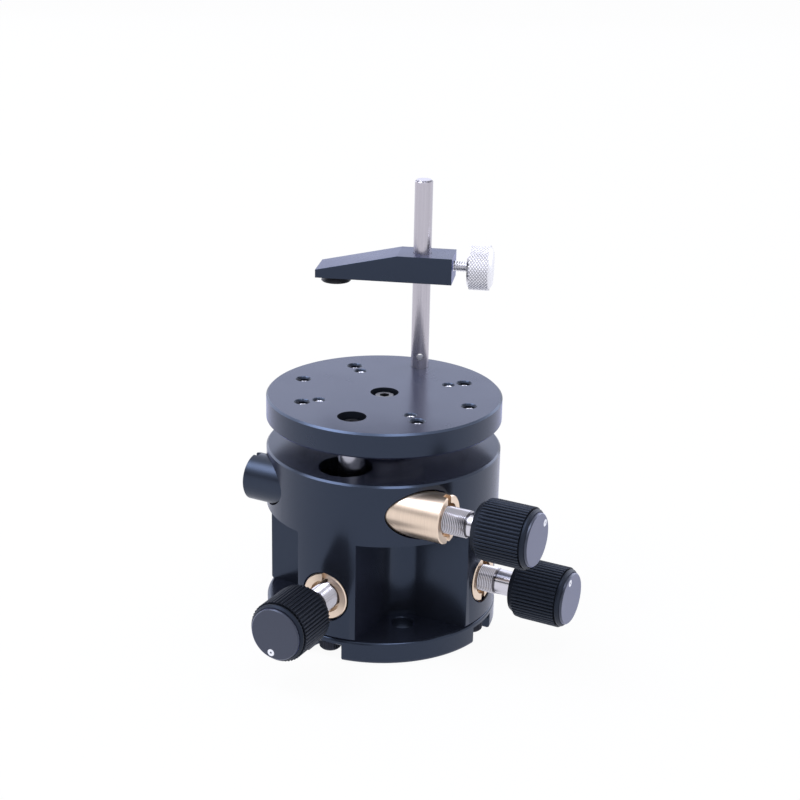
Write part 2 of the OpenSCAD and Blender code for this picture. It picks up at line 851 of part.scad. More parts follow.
// Side tilt adjuster in the +X pillar, and the spring tube in the -X pillar
module side_bush() { aim_tilt(0) bush(tilt_inner, tilt_outer); }
module side_screw() { aim_tilt(0) adjuster_screw(tilt_nose, tilt_outer + side_screw_out, side_shank_out); }
module side_knob() { aim_tilt(0) knob(tilt_outer + side_screw_out); }
module side_cap() { aim_tilt(0) knob_cap(tilt_outer + side_screw_out); }
module side_tip() { aim_tilt(0) swivel_tip(tilt_nose); }
module side_tube() { aim_tilt(180) spring_tube(tilt_inner, tilt_outer); }
module side_plunger() { aim_tilt(180) plunger(tilt_nose); }
module side_spring() { aim_tilt(180) plunger_spring(tilt_nose, tilt_outer); }

// Front tilt adjuster in the -Y pillar, and the spring tube in the +Y pillar
module front_bush() { aim_tilt(-90) bush(tilt_inner, tilt_outer); }
module front_screw() { aim_tilt(-90) adjuster_screw(tilt_nose, tilt_outer + front_screw_out, front_shank_out); }
module front_knob() { aim_tilt(-90) knob(tilt_outer + front_screw_out); }
module front_cap() { aim_tilt(-90) knob_cap(tilt_outer + front_screw_out); }
module front_tip() { aim_tilt(-90) swivel_tip(tilt_nose); }
module front_tube() { aim_tilt(90) spring_tube(tilt_inner, tilt_outer); }
module front_plunger() { aim_tilt(90) plunger(tilt_nose); }
module front_spring() { aim_tilt(90) plunger_spring(tilt_nose, tilt_outer); }

base_plate();
housing();
base_screws();
gimbal_seat();
seat_pins();
gimbal_ring();
lever_pin();
lever();
foot_pads();
thrust_washer();
centre_screw();
platform();
yaw_pin();
yaw_pin_screw();
post();
clamp_arm();
clamp_foot();
thumb_screw();
yaw_bush();
yaw_screw();
yaw_knob();
yaw_cap();
yaw_tip();
yaw_tube();
yaw_plunger();
yaw_spring();
side_bush();
side_screw();
side_knob();
side_cap();
side_tip();
side_tube();
side_plunger();
side_spring();
front_bush();
front_screw();
front_knob();
front_cap();
front_tip();
front_tube();
front_plunger();
front_spring();
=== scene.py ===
# %% [markdown]
# # Dressing a prism mount
# The mount is a round stage for a prism: a black anodised housing, a drilled platform on top, three
# fine adjusters with ridged knobs, and a clamp arm on a steel post. The CAD model already has the
# sizes, the places and the motion. This lesson adds what a model of that kind leaves out: threads,
# ridges, a diamond knurl, softly broken edges and the finish of each metal.
# Everything is built in metres in the frame of the CAD model, and each piece rides on a CAD body.

import json
import math

import bmesh
import bpy
from mathutils import Euler, Matrix, Vector


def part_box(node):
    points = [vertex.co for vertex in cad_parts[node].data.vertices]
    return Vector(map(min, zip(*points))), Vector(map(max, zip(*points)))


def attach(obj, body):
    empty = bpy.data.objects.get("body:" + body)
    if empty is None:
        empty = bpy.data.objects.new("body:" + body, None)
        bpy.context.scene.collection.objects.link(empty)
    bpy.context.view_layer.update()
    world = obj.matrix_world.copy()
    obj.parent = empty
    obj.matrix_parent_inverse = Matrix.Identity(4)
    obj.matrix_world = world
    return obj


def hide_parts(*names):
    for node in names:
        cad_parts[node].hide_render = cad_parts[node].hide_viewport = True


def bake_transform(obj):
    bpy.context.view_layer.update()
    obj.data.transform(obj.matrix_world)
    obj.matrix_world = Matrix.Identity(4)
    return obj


MM = 0.001
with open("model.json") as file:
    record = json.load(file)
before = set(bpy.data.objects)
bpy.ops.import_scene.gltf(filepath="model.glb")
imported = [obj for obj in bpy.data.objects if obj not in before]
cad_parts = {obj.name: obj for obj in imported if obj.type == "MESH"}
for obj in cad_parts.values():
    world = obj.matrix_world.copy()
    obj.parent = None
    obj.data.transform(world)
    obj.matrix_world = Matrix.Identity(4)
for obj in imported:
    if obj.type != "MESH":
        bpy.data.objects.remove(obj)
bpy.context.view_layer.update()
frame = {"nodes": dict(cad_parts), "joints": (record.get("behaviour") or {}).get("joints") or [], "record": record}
cad_nodes = frame["nodes"]

# %% [markdown]
# ## Where things are
# Nothing here is placed by eye. The box of a CAD node tells where that piece lies, so the axis of an
# adjuster comes from its bush, and the start and the end of a knob come from the knob itself.
# A piece is modelled standing on +Z, and one matrix then lays it along its adjuster.

# %% Axes of the three adjusters
ADJUSTERS = {"yaw": 0, "side": 0, "front": -90}


def adjuster_axis(name):
    """The direction an adjuster points in, and the matrix that lays a piece from +Z along it."""
    turn = Matrix.Rotation(math.radians(ADJUSTERS[name]), 4, "Z")
    along = turn @ Vector((1, 0, 0))
    low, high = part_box(name + "_bush")
    centre = (low + high) / 2
    foot = centre - along * centre.dot(along)
    return along, Matrix.Translation(foot) @ turn @ Matrix.Rotation(math.radians(90), 4, "Y")


def reach(node_name, along):
    """The nearest and the farthest distance of a CAD node along a direction."""
    low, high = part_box(node_name)
    return sorted((low.dot(along), high.dot(along)))


def radius_of(node_name):
    """Half the height of a lying, turned CAD node, in mm."""
    low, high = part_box(node_name)
    return (high.z - low.z) / 2 / MM


for name in ADJUSTERS:
    along, lay = adjuster_axis(name)
    print(name, "knob from", [round(x / MM, 2) for x in reach(name + "_knob", along)], "mm")

# %% [markdown]
# ## Patterns for the finishes
# Machined metal is never one flat colour. A lathe leaves fine lines round a piece, anodising has a
# soft grain, and both change the gloss a little from place to place. Noise does all of this: noise
# that is squeezed along one axis turns into lines across that axis. The patterns read Object
# coordinates, which are metres in the CAD frame here, so one pattern runs on from piece to piece.

# %% Shader helpers
GRAIN = (9000, 9000, 9000)
LINES = {"x": (6000, 20, 20), "y": (20, 6000, 20), "z": (20, 20, 6000),
         "streaks": (1800, 1800, 14)}
CLOUDS = (70, 70, 70)
COARSE, FINE, FINEST = 2.0, 3.0, 4.0
NOISE_SPAN = (0.25, 0.75)


def new_finish(name, colour, metallic, roughness):
    """A material with one Principled shader and plain values on its sockets."""
    material = bpy.data.materials.new(name)
    material.use_nodes = True
    shader = material.node_tree.nodes["Principled BSDF"]
    shader.inputs["Base Color"].default_value = (*colour, 1)
    shader.inputs["Metallic"].default_value = metallic
    shader.inputs["Roughness"].default_value = roughness
    return material, shader


def noise(material, scale, detail):
    """Noise on Object coordinates, as a value socket from 0 to 1."""
    tree = material.node_tree
    where = tree.nodes.new("ShaderNodeTexCoord")
    mapping = tree.nodes.new("ShaderNodeMapping")
    mapping.inputs["Scale"].default_value = scale
    texture = tree.nodes.new("ShaderNodeTexNoise")
    texture.inputs["Scale"].default_value = 1.0
    texture.inputs["Detail"].default_value = detail
    tree.links.new(where.outputs["Object"], mapping.inputs["Vector"])
    tree.links.new(mapping.outputs["Vector"], texture.inputs["Vector"])
    return texture.outputs["Fac"]


def vary_colour(material, shader, pattern, dark, light):
    """The base colour runs from dark to light with the pattern."""
    tree = material.node_tree
    mix = tree.nodes.new("ShaderNodeMix")
    mix.data_type = "RGBA"
    mix.inputs["A"].default_value = (*dark, 1)
    mix.inputs["B"].default_value = (*light, 1)
    tree.links.new(pattern, mix.inputs["Factor"])
    tree.links.new(mix.outputs["Result"], shader.inputs["Base Color"])


def vary_gloss(material, shader, pattern, low, high):
    """The roughness runs from low to high with the pattern."""
    tree = material.node_tree
    span = tree.nodes.new("ShaderNodeMapRange")
    span.inputs["From Min"].default_value = NOISE_SPAN[0]
    span.inputs["From Max"].default_value = NOISE_SPAN[1]
    span.inputs["To Min"].default_value = low
    span.inputs["To Max"].default_value = high
    tree.links.new(pattern, span.inputs["Value"])
    tree.links.new(span.outputs["Result"], shader.inputs["Roughness"])


def raise_surface(material, shader, pattern, height_mm, strength):
    """The pattern as a shallow relief."""
    tree = material.node_tree
    bump = tree.nodes.new("ShaderNodeBump")
    bump.inputs["Strength"].default_value = strength
    bump.inputs["Distance"].default_value = height_mm * MM
    tree.links.new(pattern, bump.inputs["Height"])
    tree.links.new(bump.outputs["Normal"], shader.inputs["Normal"])


def grooves(material, narrow):
    """How deep a point lies in a thread or a knurl, from 0 to 1, as stored on the mesh: the mask of the painted
    shade.
    """
    tree = material.node_tree
    stored = tree.nodes.new("ShaderNodeAttribute")
    stored.attribute_name = "groove"
    deepest = tree.nodes.new("ShaderNodeMath")
    deepest.operation = "POWER"
    deepest.inputs[1].default_value = narrow
    tree.links.new(stored.outputs["Fac"], deepest.inputs[0])
    return deepest.outputs[0]


def scaled(colour, share):
    """A colour made darker or lighter."""
    return tuple(min(1.0, channel * share) for channel in colour)


print("patterns: grain, lines along", ", ".join(LINES), "and clouds")

# %% [markdown]
# ## Black anodising
# The housing, the base, the platform and the arm are anodised aluminium: a hard, dyed skin that is
# nearly black, faintly blue and satin. Dyed oxide is no bare metal, so the shader stays a dielectric
# with a strong enough highlight. The turned pieces get lathe lines, the milled arm a plain grain.
# Seen at a low angle the skin has a bluish bloom, for which the shader's sheen stands in. The caps of
# the knobs are sealed to a gloss, which is a clear coat, and a broken edge is brighter than a face.

# %% Anodised finishes
ANODISED = (0.010, 0.0115, 0.016)
KNOB_BLACK = (0.008, 0.009, 0.012)
OXIDE_SHEEN = (0.27, 0.35, 0.51)
SEALED_SHEEN = (0.17, 0.22, 0.36)
BLOOM = (0.40, 0.45, 1.0)
DYE_SPAN = (0.82, 1.2)
GLOSS_SPAN = (-0.04, 0.05)
OXIDE_RELIEF = 0.15


def shades(colour, span):
    """The darkest and the lightest shade of a colour."""
    return [scaled(colour, share) for share in span]


def anodised(name, colour, pattern_scale, gloss, relief_mm, ior=2.0, seal=0.0, bloom=0.0, spread=0.3):
    """Dyed oxide skin over turned or milled aluminium, with a clear seal where it is glossy."""
    material, shader = new_finish(name, colour, 0.0, gloss)
    shader.inputs["IOR"].default_value = ior
    shader.inputs["Coat Weight"].default_value = seal
    shader.inputs["Coat Roughness"].default_value = gloss
    shader.inputs["Specular Tint"].default_value = (*(SEALED_SHEEN if seal else OXIDE_SHEEN), 1)
    shader.inputs["Sheen Weight"].default_value = bloom
    shader.inputs["Sheen Roughness"].default_value = spread
    shader.inputs["Sheen Tint"].default_value = (*BLOOM, 1)
    clouds = noise(material, CLOUDS, FINEST)
    vary_colour(material, shader, clouds, *shades(colour, DYE_SPAN))
    vary_gloss(material, shader, clouds, gloss + GLOSS_SPAN[0], gloss + GLOSS_SPAN[1])
    raise_surface(material, shader, noise(material, pattern_scale, FINE), relief_mm, OXIDE_RELIEF)
    return material


anodised_turned = anodised("anodised_turned", ANODISED, LINES["z"], 0.20, 0.006, bloom=0.2)
anodised_stage = anodised("anodised_stage", ANODISED, LINES["z"], 0.24, 0.006, bloom=0.45)
anodised_milled = anodised("anodised_milled", ANODISED, GRAIN, 0.28, 0.008, bloom=0.5)
anodised_edge = anodised("anodised_edge", ANODISED, GRAIN, 0.30, 0.004, ior=2.6)
anodised_tube_x = anodised("anodised_tube_x", ANODISED, LINES["x"], 0.29, 0.006)
anodised_tube_y = anodised("anodised_tube_y", ANODISED, LINES["y"], 0.29, 0.006)
anodised_knob = anodised("anodised_knob", KNOB_BLACK, GRAIN, 0.45, 0.004, ior=1.65)
anodised_cap = anodised("anodised_cap", KNOB_BLACK, GRAIN, 0.36, 0.004, ior=2.2, seal=0.9,
                        bloom=0.45, spread=0.4)
print("anodised finishes made, base colour", ANODISED)

# %% [markdown]
# ## Bare and plated metals
# The bushes are pale turned brass, the screws and the post are stainless steel, the pins are ground
# steel, and the thumb screw is nickel plated. On bare metal the colour is the colour of the mirror
# image, so these shaders are fully metallic, and the lathe lines do most of the work. Threads and the
# knurl carry painted shade in their grooves, and the screw heads sunk in holes carry a lighter oxide
# as painted light. The wall of a drilled hole is rough and coloured dark as painted shade, and the
# thread of a tapped hole is bright again.

# %% Metal finishes
LATHE_SPAN = (0.86, 1.1)
LATHE_RELIEF = 0.03
GROOVE_GLOSS = 0.04


def turned_metal(name, colour, axis, gloss, relief_mm):
    """Bare metal with lathe lines round one axis."""
    material, shader = new_finish(name, colour, 1.0, gloss)
    lines = noise(material, LINES[axis], FINE)
    vary_colour(material, shader, lines, *shades(colour, LATHE_SPAN))
    vary_gloss(material, shader, noise(material, CLOUDS, FINEST),
               gloss + GLOSS_SPAN[0], gloss + GLOSS_SPAN[1])
    raise_surface(material, shader, lines, relief_mm, LATHE_RELIEF)
    return material


def groove_shaded_metal(name, colour, gloss, valley, narrow):
    """Metal with painted shade: its colour darkens towards the bottom of each groove, by the valley share."""
    material, shader = new_finish(name, colour, 1.0, gloss)
    vary_colour(material, shader, grooves(material, narrow), colour, scaled(colour, valley))
    vary_gloss(material, shader, noise(material, CLOUDS, FINEST),
               gloss - GROOVE_GLOSS, gloss + GROOVE_GLOSS)
    return material


BRASS = (0.95, 0.75, 0.58)
STAINLESS = (0.68, 0.66, 0.69)
DRAWN = (0.56, 0.53, 0.56)
GROUND = (0.44, 0.44, 0.48)
NICKEL = (0.97, 0.96, 0.98)
BLACK_OXIDE = (0.040, 0.043, 0.055)
LIGHTENED_OXIDE = (0.18, 0.18, 0.19)
TAPPED = (0.50, 0.50, 0.54)
# Painted shade: the wall of the post's drilled cross-hole is coloured dark.
DRILLED_SHADE = (0.16, 0.16, 0.18)

brass = {axis: turned_metal("brass_" + axis, BRASS, axis, 0.34, 0.006) for axis in "xyz"}
stainless = {axis: turned_metal("stainless_" + axis, STAINLESS, axis, 0.2, 0.004) for axis in "xyz"}
ground_steel = turned_metal("ground_steel", GROUND, "z", 0.18, 0.003)
drawn_steel = turned_metal("drawn_steel", DRAWN, "streaks", 0.24, 0.006)
# Painted shade in the valleys of the screw threads, their run-out grooves and the thumb screw's knurl.
threaded_steel = groove_shaded_metal("threaded_steel", STAINLESS, 0.2, 0.22, 1.5)
nickel = turned_metal("nickel", NICKEL, "x", 0.24, 0.003)
knurled_nickel = groove_shaded_metal("knurled_nickel", NICKEL, 0.40, 0.4, 4.0)
black_oxide = turned_metal("black_oxide", BLACK_OXIDE, "z", 0.36, 0.004)
# Painted light: the screw heads sunk deep in their holes get a lighter copy of the black oxide, as if lit.
lightened_oxide = turned_metal("lightened_oxide", LIGHTENED_OXIDE, "z", 0.32, 0.004)
tapped_wall = turned_metal("tapped_wall", TAPPED, "z", 0.25, 0.004)
shaded_drilled_wall = turned_metal("shaded_drilled_wall", DRILLED_SHADE, "z", 0.40, 0.004)
print("metal finishes made, brass", BRASS, "and stainless", STAINLESS)

# %% [markdown]
# ## Nylon and paint
# The clamp foot is a black plastic pad, the thrust washer a white one, and each knob carries a small
# painted ring as an index mark. Plastic and paint are dielectrics with a fine, dull grain.

# %% Plastic and paint finishes
PLASTIC_SPAN = (0.9, 1.08)
PLASTIC_GLOSS = 0.05
PLASTIC_GRAIN_MM = 0.01
PLASTIC_RELIEF = 0.3


def grained(name, colour, gloss):
    """Dull plastic or paint with a fine grain."""
    material, shader = new_finish(name, colour, 0.0, gloss)
    grain = noise(material, GRAIN, COARSE)
    vary_colour(material, shader, grain, *shades(colour, PLASTIC_SPAN))
    vary_gloss(material, shader, grain, gloss - PLASTIC_GLOSS, gloss + PLASTIC_GLOSS)
    raise_surface(material, shader, grain, PLASTIC_GRAIN_MM, PLASTIC_RELIEF)
    return material


black_nylon = grained("black_nylon", (0.012, 0.013, 0.018), 0.5)
white_nylon = grained("white_nylon", (0.78, 0.77, 0.73), 0.5)
mark_paint = grained("mark_paint", (0.92, 0.92, 0.92), 0.45)
print("plastics and paint made: 3")

# %% [markdown]
# ## Two ways to make a mesh
# Turned pieces are a profile swept round an axis, so a short function that joins rings of points is
# all they need. What repeats, such as ridges and threads, is grown by a node tree instead: the tree
# is built once, fed with sizes, and its result is kept as a plain mesh.

# %% Turned solids
SHARP_ANGLE = 35
TURNED_STEPS = 96


def smooth(mesh, angle=SHARP_ANGLE):
    """Smooth shading that keeps the sharp edges."""
    mesh.polygons.foreach_set("use_smooth", [True] * len(mesh.polygons))
    mesh.set_sharp_from_angle(angle=math.radians(angle))
    return mesh


def turned(name, profile, steps=TURNED_STEPS):
    """A closed mesh from a profile of (radius, height) points in mm, swept round Z."""
    points, faces, rings = [], [], []
    for radius, height in profile:
        count = steps if radius > 0 else 1
        rings.append([len(points) + i % count for i in range(steps)])
        for i in range(count):
            turn = 2 * math.pi * i / steps
            points.append(Vector((radius * math.cos(turn), radius * math.sin(turn), height)) * MM)
    for lower, upper in zip(rings, rings[1:]):
        for i in range(steps):
            j = (i + 1) % steps
            corners = list(dict.fromkeys((lower[i], lower[j], upper[j], upper[i])))
            if len(corners) > 2:
                faces.append(corners)
    mesh = bpy.data.meshes.new(name)
    mesh.from_pydata(points, [], faces)
    return smooth(mesh)


def add_piece(name, mesh, material, body):
    """An object of the mount that rides on a CAD body. With no material, the mesh keeps its own."""
    piece = bpy.data.objects.new(name, mesh)
    bpy.context.scene.collection.objects.link(piece)
    if material:
        mesh.materials.clear()
        mesh.materials.append(material)
    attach(piece, body)
    return piece


print("turned pieces have", TURNED_STEPS, "points round their axis")

# %% [markdown]
# A node tree runs on an object, so grow() makes a small holder with the points that the tree starts
# from, sets the named inputs, keeps the result as a plain mesh and throws the holder away.

# %% Grown meshes
def new_tree(name, sizes):
    """An empty node tree with a geometry output and named inputs of (name, socket type)."""
    tree = bpy.data.node_groups.new(name, "GeometryNodeTree")
    tree.interface.new_socket("Geometry", in_out="OUTPUT", socket_type="NodeSocketGeometry")
    for label, kind in sizes:
        tree.interface.new_socket(label, in_out="INPUT", socket_type="NodeSocket" + kind)
    return tree, tree.nodes.new("NodeGroupInput").outputs


def node(tree, kind, settings=None, **links):
    """A node with its settings made and its inputs linked or set, by name."""
    made = tree.nodes.new(kind)
    for key, value in (settings or {}).items():
        setattr(made, key, value)
    for key, value in links.items():
        socket = made.inputs[int(key[1:])] if key[0] == "_" else made.inputs[key.replace("_", " ")]
        if isinstance(value, bpy.types.NodeSocket):
            tree.links.new(value, socket)
        else:
            socket.default_value = value
    return made


def calc(tree, operation, *values):
    """A Math node as one value socket."""
    inputs = {f"_{i}": value for i, value in enumerate(values)}
    return node(tree, "ShaderNodeMath", {"operation": operation}, **inputs).outputs[0]


def store_groove(tree, geometry, depth):
    """Keeps a depth from 0 to 1 on every point, which the finish reads as the mask of its painted shade."""
    stored = node(tree, "GeometryNodeStoreNamedAttribute", {"data_type": "FLOAT", "domain": "POINT"},
                  Geometry=geometry, Name="groove", Value=depth)
    return stored.outputs[0]


def end_tree(tree, geometry, finish):
    """Ends a tree in real geometry with its finish set."""
    real = node(tree, "GeometryNodeRealizeInstances", Geometry=geometry)
    shown = node(tree, "GeometryNodeSetMaterial", Geometry=real.outputs[0], Material=finish)
    tree.links.new(shown.outputs[0], tree.nodes.new("NodeGroupOutput").inputs[0])


def grow(name, tree, points=((0, 0, 0),), **sizes):
    """Runs a tree with these sizes and returns the result as a plain mesh."""
    seed = bpy.data.meshes.new(name + "_seed")
    seed.from_pydata([Vector(p) for p in points], [], [])
    holder = bpy.data.objects.new(name + "_seed", seed)
    bpy.context.scene.collection.objects.link(holder)
    modifier = holder.modifiers.new(name, "NODES")
    modifier.node_group = tree
    for item in tree.interface.items_tree:
        if item.in_out == "INPUT" and item.name in sizes:
            modifier[item.identifier] = sizes[item.name]
    grown = holder.evaluated_get(bpy.context.evaluated_depsgraph_get())
    mesh = bpy.data.meshes.new_from_object(grown)
    mesh.name = name
    holder.modifiers.remove(modifier)
    bpy.data.objects.remove(holder)
    return smooth(mesh)


print("mesh helpers ready: turned() and grow()")

# %% [markdown]
# ## Ridged knobs
# A finger grips the knob by straight, flat-topped ridges that end at a smooth collar. They could be cut
# one by one, but they are all alike, so a tree sets copies of one bar on the points of a circle,
# turns each bar outwards and sets the whole ring at every place that it is given. The bar narrows at
# its lower end, as a ridge does where the cutter runs out.

# %% Ridge tree
BAR_SIDES = 8
BAR_STEPS = 8
RUN_OUT_LEVEL = -0.45
RUN_OUT_LOSS = 0.45

ridge_tree, size = new_tree("ridge_ring", [
    ("Places", "Geometry"), ("Count", "Int"), ("Radius", "Float"), ("Length", "Float"),
    ("Width", "Float"), ("Height", "Float"), ("Finish", "Material")])
circle = node(ridge_tree, "GeometryNodeMeshCircle", Vertices=size["Count"], Radius=size["Radius"])
bar = node(ridge_tree, "GeometryNodeMeshCylinder", Vertices=BAR_SIDES, Side_Segments=BAR_STEPS,
           Radius=0.5, Depth=1.0)
flat_out = node(ridge_tree, "GeometryNodeTransform", Geometry=bar.outputs["Mesh"],
                Rotation=Euler((0, 0, math.pi / BAR_SIDES)))
spot = node(ridge_tree, "GeometryNodeInputPosition").outputs[0]
parts = node(ridge_tree, "ShaderNodeSeparateXYZ", Vector=spot).outputs
at_end = calc(ridge_tree, "LESS_THAN", parts["Z"], RUN_OUT_LEVEL)
share = calc(ridge_tree, "SUBTRACT", 1.0, calc(ridge_tree, "MULTIPLY", at_end, RUN_OUT_LOSS))
narrow = node(ridge_tree, "ShaderNodeCombineXYZ", X=calc(ridge_tree, "MULTIPLY", parts["X"], share),
              Y=calc(ridge_tree, "MULTIPLY", parts["Y"], share), Z=parts["Z"])
bar_shaped = node(ridge_tree, "GeometryNodeSetPosition", Geometry=flat_out.outputs[0],
                  Position=narrow.outputs[0])
outward = node(ridge_tree, "FunctionNodeAlignRotationToVector", {"axis": "X", "pivot_axis": "Z"},
               Vector=spot)
bar_size = node(ridge_tree, "ShaderNodeCombineXYZ",
                X=calc(ridge_tree, "MULTIPLY", size["Height"], 2.0), Y=size["Width"], Z=size["Length"])
ridges = node(ridge_tree, "GeometryNodeInstanceOnPoints", Points=circle.outputs[0],
              Instance=bar_shaped.outputs[0], Rotation=outward.outputs[0], Scale=bar_size.outputs[0])
rings = node(ridge_tree, "GeometryNodeInstanceOnPoints", Points=size["Places"],
             Instance=ridges.outputs[0])
end_tree(ridge_tree, rings.outputs[0], size["Finish"])
print("ridge tree nodes:", len(ridge_tree.nodes))

# %% [markdown]
# The body under the ridges is a turned profile: an inner taper, the valley between the ridges, a narrow
# groove where they end, a smooth collar, and the socket of the cap that closes the knob.

# %% Knobs
RIDGE_COUNT = 51
RIDGE_HEIGHT = 0.46
RIDGE_WIDTH = 0.84
TAPER = 2.0
TAPER_DEPTH = 1.0
RIDGE_RUN_IN = 0.4
ROUNDED = 60
COLLAR = 1.3
RING_GROOVE = 0.3
RING_DEPTH = 0.25
CAP_GROOVE = 0.1
RIM_FLAT = 0.1


def knob_profile(length, outer, cap_radius, cap_sink):
    """The knob's turned body, from its inner face to the socket of its cap, in mm."""
    valley = outer - RIDGE_HEIGHT
    ring_start = length - COLLAR
    ring_end = ring_start + RING_GROOVE
    socket = cap_radius + CAP_GROOVE
    bevel = valley - socket - RIM_FLAT
    return [(0, 0), (valley - TAPER_DEPTH, 0), (valley, TAPER), (valley, ring_start),
            (valley - RING_DEPTH, ring_start), (valley - RING_DEPTH, ring_end), (valley, ring_end),
            (valley, length - bevel), (valley - bevel, length), (socket, length),
            (socket, length - cap_sink), (0, length - cap_sink)]


for name in ADJUSTERS:
    along, lay = adjuster_axis(name)
    start, end = reach(name + "_knob", along)
    cap_low = reach(name + "_cap", along)[0]
    length = (end - start) / MM
    outer = radius_of(name + "_knob")
    cap_radius = radius_of(name + "_cap")
    base = lay @ Matrix.Translation((0, 0, start))
    profile = knob_profile(length, outer, cap_radius, (end - cap_low) / MM)
    body_mesh = turned(name + "_grip", profile)
    body_mesh.transform(base)
    grip = add_piece(name + "_grip", body_mesh, anodised_knob, name + "_knob")
    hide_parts(name + "_knob")
    ridge_length = length - TAPER - COLLAR + RIDGE_RUN_IN
    ridge_mesh = grow(name + "_ridges", ridge_tree, Count=RIDGE_COUNT,
                      Radius=(outer - RIDGE_HEIGHT) * MM, Length=ridge_length * MM,
                      Width=RIDGE_WIDTH * MM, Height=RIDGE_HEIGHT * MM, Finish=anodised_knob)
    smooth(ridge_mesh, ROUNDED)
    ridge_middle = length - COLLAR - ridge_length / 2
    ridge_mesh.transform(base @ Matrix.Translation((0, 0, ridge_middle * MM)))
    add_piece(name + "_ridges", ridge_mesh, anodised_knob, name + "_knob")
    print(name, "knob:", len(body_mesh.polygons), "body faces,", len(ridge_mesh.polygons), "ridge faces")

# %% [markdown]
# The four cap screws that hold the housing show their heads in the notches of the base. Such heads
# are knurled with the same straight ridges, only finer, so the same tree makes all four rings.

# %% Ridges on the base screws
HEAD_RIDGES = 26
HEAD_RIDGE_WIDTH = 0.40
HEAD_RIDGE_HEIGHT = 0.22
HEAD_HEIGHT = 3.0
HEAD_BEVEL = 0.35

head_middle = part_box("base_screws")[0].z + HEAD_HEIGHT / 2 * MM
right_screw = [vertex.co.x for vertex in cad_nodes["base_screws"].data.vertices
               if vertex.co.x > abs(vertex.co.y)]
head_radius = (max(right_screw) - min(right_screw)) / 2
circle_radius = (max(right_screw) + min(right_screw)) / 2
places = [Matrix.Rotation(math.radians(turn), 3, "Z") @ Vector((circle_radius, 0, head_middle))
          for turn in (0, 90, 180, 270)]
head_ridges = grow("base_screw_ridges", ridge_tree, points=places, Count=HEAD_RIDGES,
                   Radius=head_radius, Length=(HEAD_HEIGHT - 2 * HEAD_BEVEL) * MM,
                   Width=HEAD_RIDGE_WIDTH * MM, Height=HEAD_RIDGE_HEIGHT * MM, Finish=black_oxide)
add_piece("base_screw_ridges", head_ridges, black_oxide, "base")
print("base screw heads:", len(places), "rings at", round(circle_radius / MM, 2), "mm")

# %% [markdown]
# ## Fine threads
# An adjuster screw moves only half a millimetre a turn, so its thread reads as a stack of thin bright
# lines. A helix could be swept along a curve, but a plain cylinder whose radius follows a triangle
# wave of height and angle gives the same thread with no seam. The tree does just that.

# %% Thread tree
thread_tree, size = new_tree("screw_thread", [
    ("Radius", "Float"), ("Length", "Float"), ("Pitch", "Float"), ("Depth", "Float"),
    ("Sides", "Int"), ("Steps", "Int"), ("Finish", "Material")])
rod = node(thread_tree, "GeometryNodeMeshCylinder", Vertices=size["Sides"],
           Side_Segments=size["Steps"], Radius=size["Radius"], Depth=size["Length"])
spot = node(thread_tree, "GeometryNodeInputPosition").outputs[0]
parts = node(thread_tree, "ShaderNodeSeparateXYZ", Vector=spot).outputs
angle = calc(thread_tree, "ARCTAN2", parts["Y"], parts["X"])
turns = calc(thread_tree, "DIVIDE", angle, 2 * math.pi)
climb = calc(thread_tree, "DIVIDE", parts["Z"], size["Pitch"])
phase = calc(thread_tree, "FRACT", calc(thread_tree, "SUBTRACT", climb, turns))
from_middle = calc(thread_tree, "ABSOLUTE", calc(thread_tree, "SUBTRACT", phase, 0.5))
wave = calc(thread_tree, "MULTIPLY", from_middle, 2.0)
deepest = calc(thread_tree, "DIVIDE", size["Depth"], size["Radius"])
share = calc(thread_tree, "SUBTRACT", 1.0, calc(thread_tree, "MULTIPLY", wave, deepest))
cut = node(thread_tree, "ShaderNodeCombineXYZ", X=calc(thread_tree, "MULTIPLY", parts["X"], share),
           Y=calc(thread_tree, "MULTIPLY", parts["Y"], share), Z=parts["Z"])
# The depth in the thread is kept as the mask of the painted shade in its valleys.
marked = store_groove(thread_tree, rod.outputs["Mesh"], wave)
thread = node(thread_tree, "GeometryNodeSetPosition", Geometry=marked, Position=cut.outputs[0])
end_tree(thread_tree, thread.outputs[0], size["Finish"])
print("thread tree nodes:", len(thread_tree.nodes))

# %% [markdown]
# Each screw is then two pieces: the threaded stretch from its inner end to the run-out groove, and
# the plain bright shank that disappears into the knob. The groove is marked as deep on the shank's
# mesh, so the finish paints shade in it just as it paints shade in the valleys of the thread.

# %% Adjuster screws
FINE_PITCH = 0.5
FINE_DEPTH = 0.22
THREAD_SIDES = 64
STEPS_PER_TURN = 8
CREST_ROOM = 0.05
END_BEVEL = 0.25
GROOVE = 0.5
GROOVE_DEPTH = 0.2
SHANK_BEVEL = 0.1


def thread_mesh(name, radius, length, pitch, depth, finish):
    """A threaded rod along Z, centred on the origin, sizes in mm."""
    return grow(name, thread_tree, Radius=radius * MM, Length=length * MM, Pitch=pitch * MM,
                Depth=depth * MM, Sides=THREAD_SIDES,
                Steps=round(length / pitch * STEPS_PER_TURN), Finish=finish)


def outline(node_name, lay):
    """Every vertex of a turned CAD node as (distance along its axis, radius), in mm."""
    local = [lay.inverted() @ vertex.co for vertex in cad_nodes[node_name].data.vertices]
    return [(point.z / MM, point.xy.length / MM) for point in local]


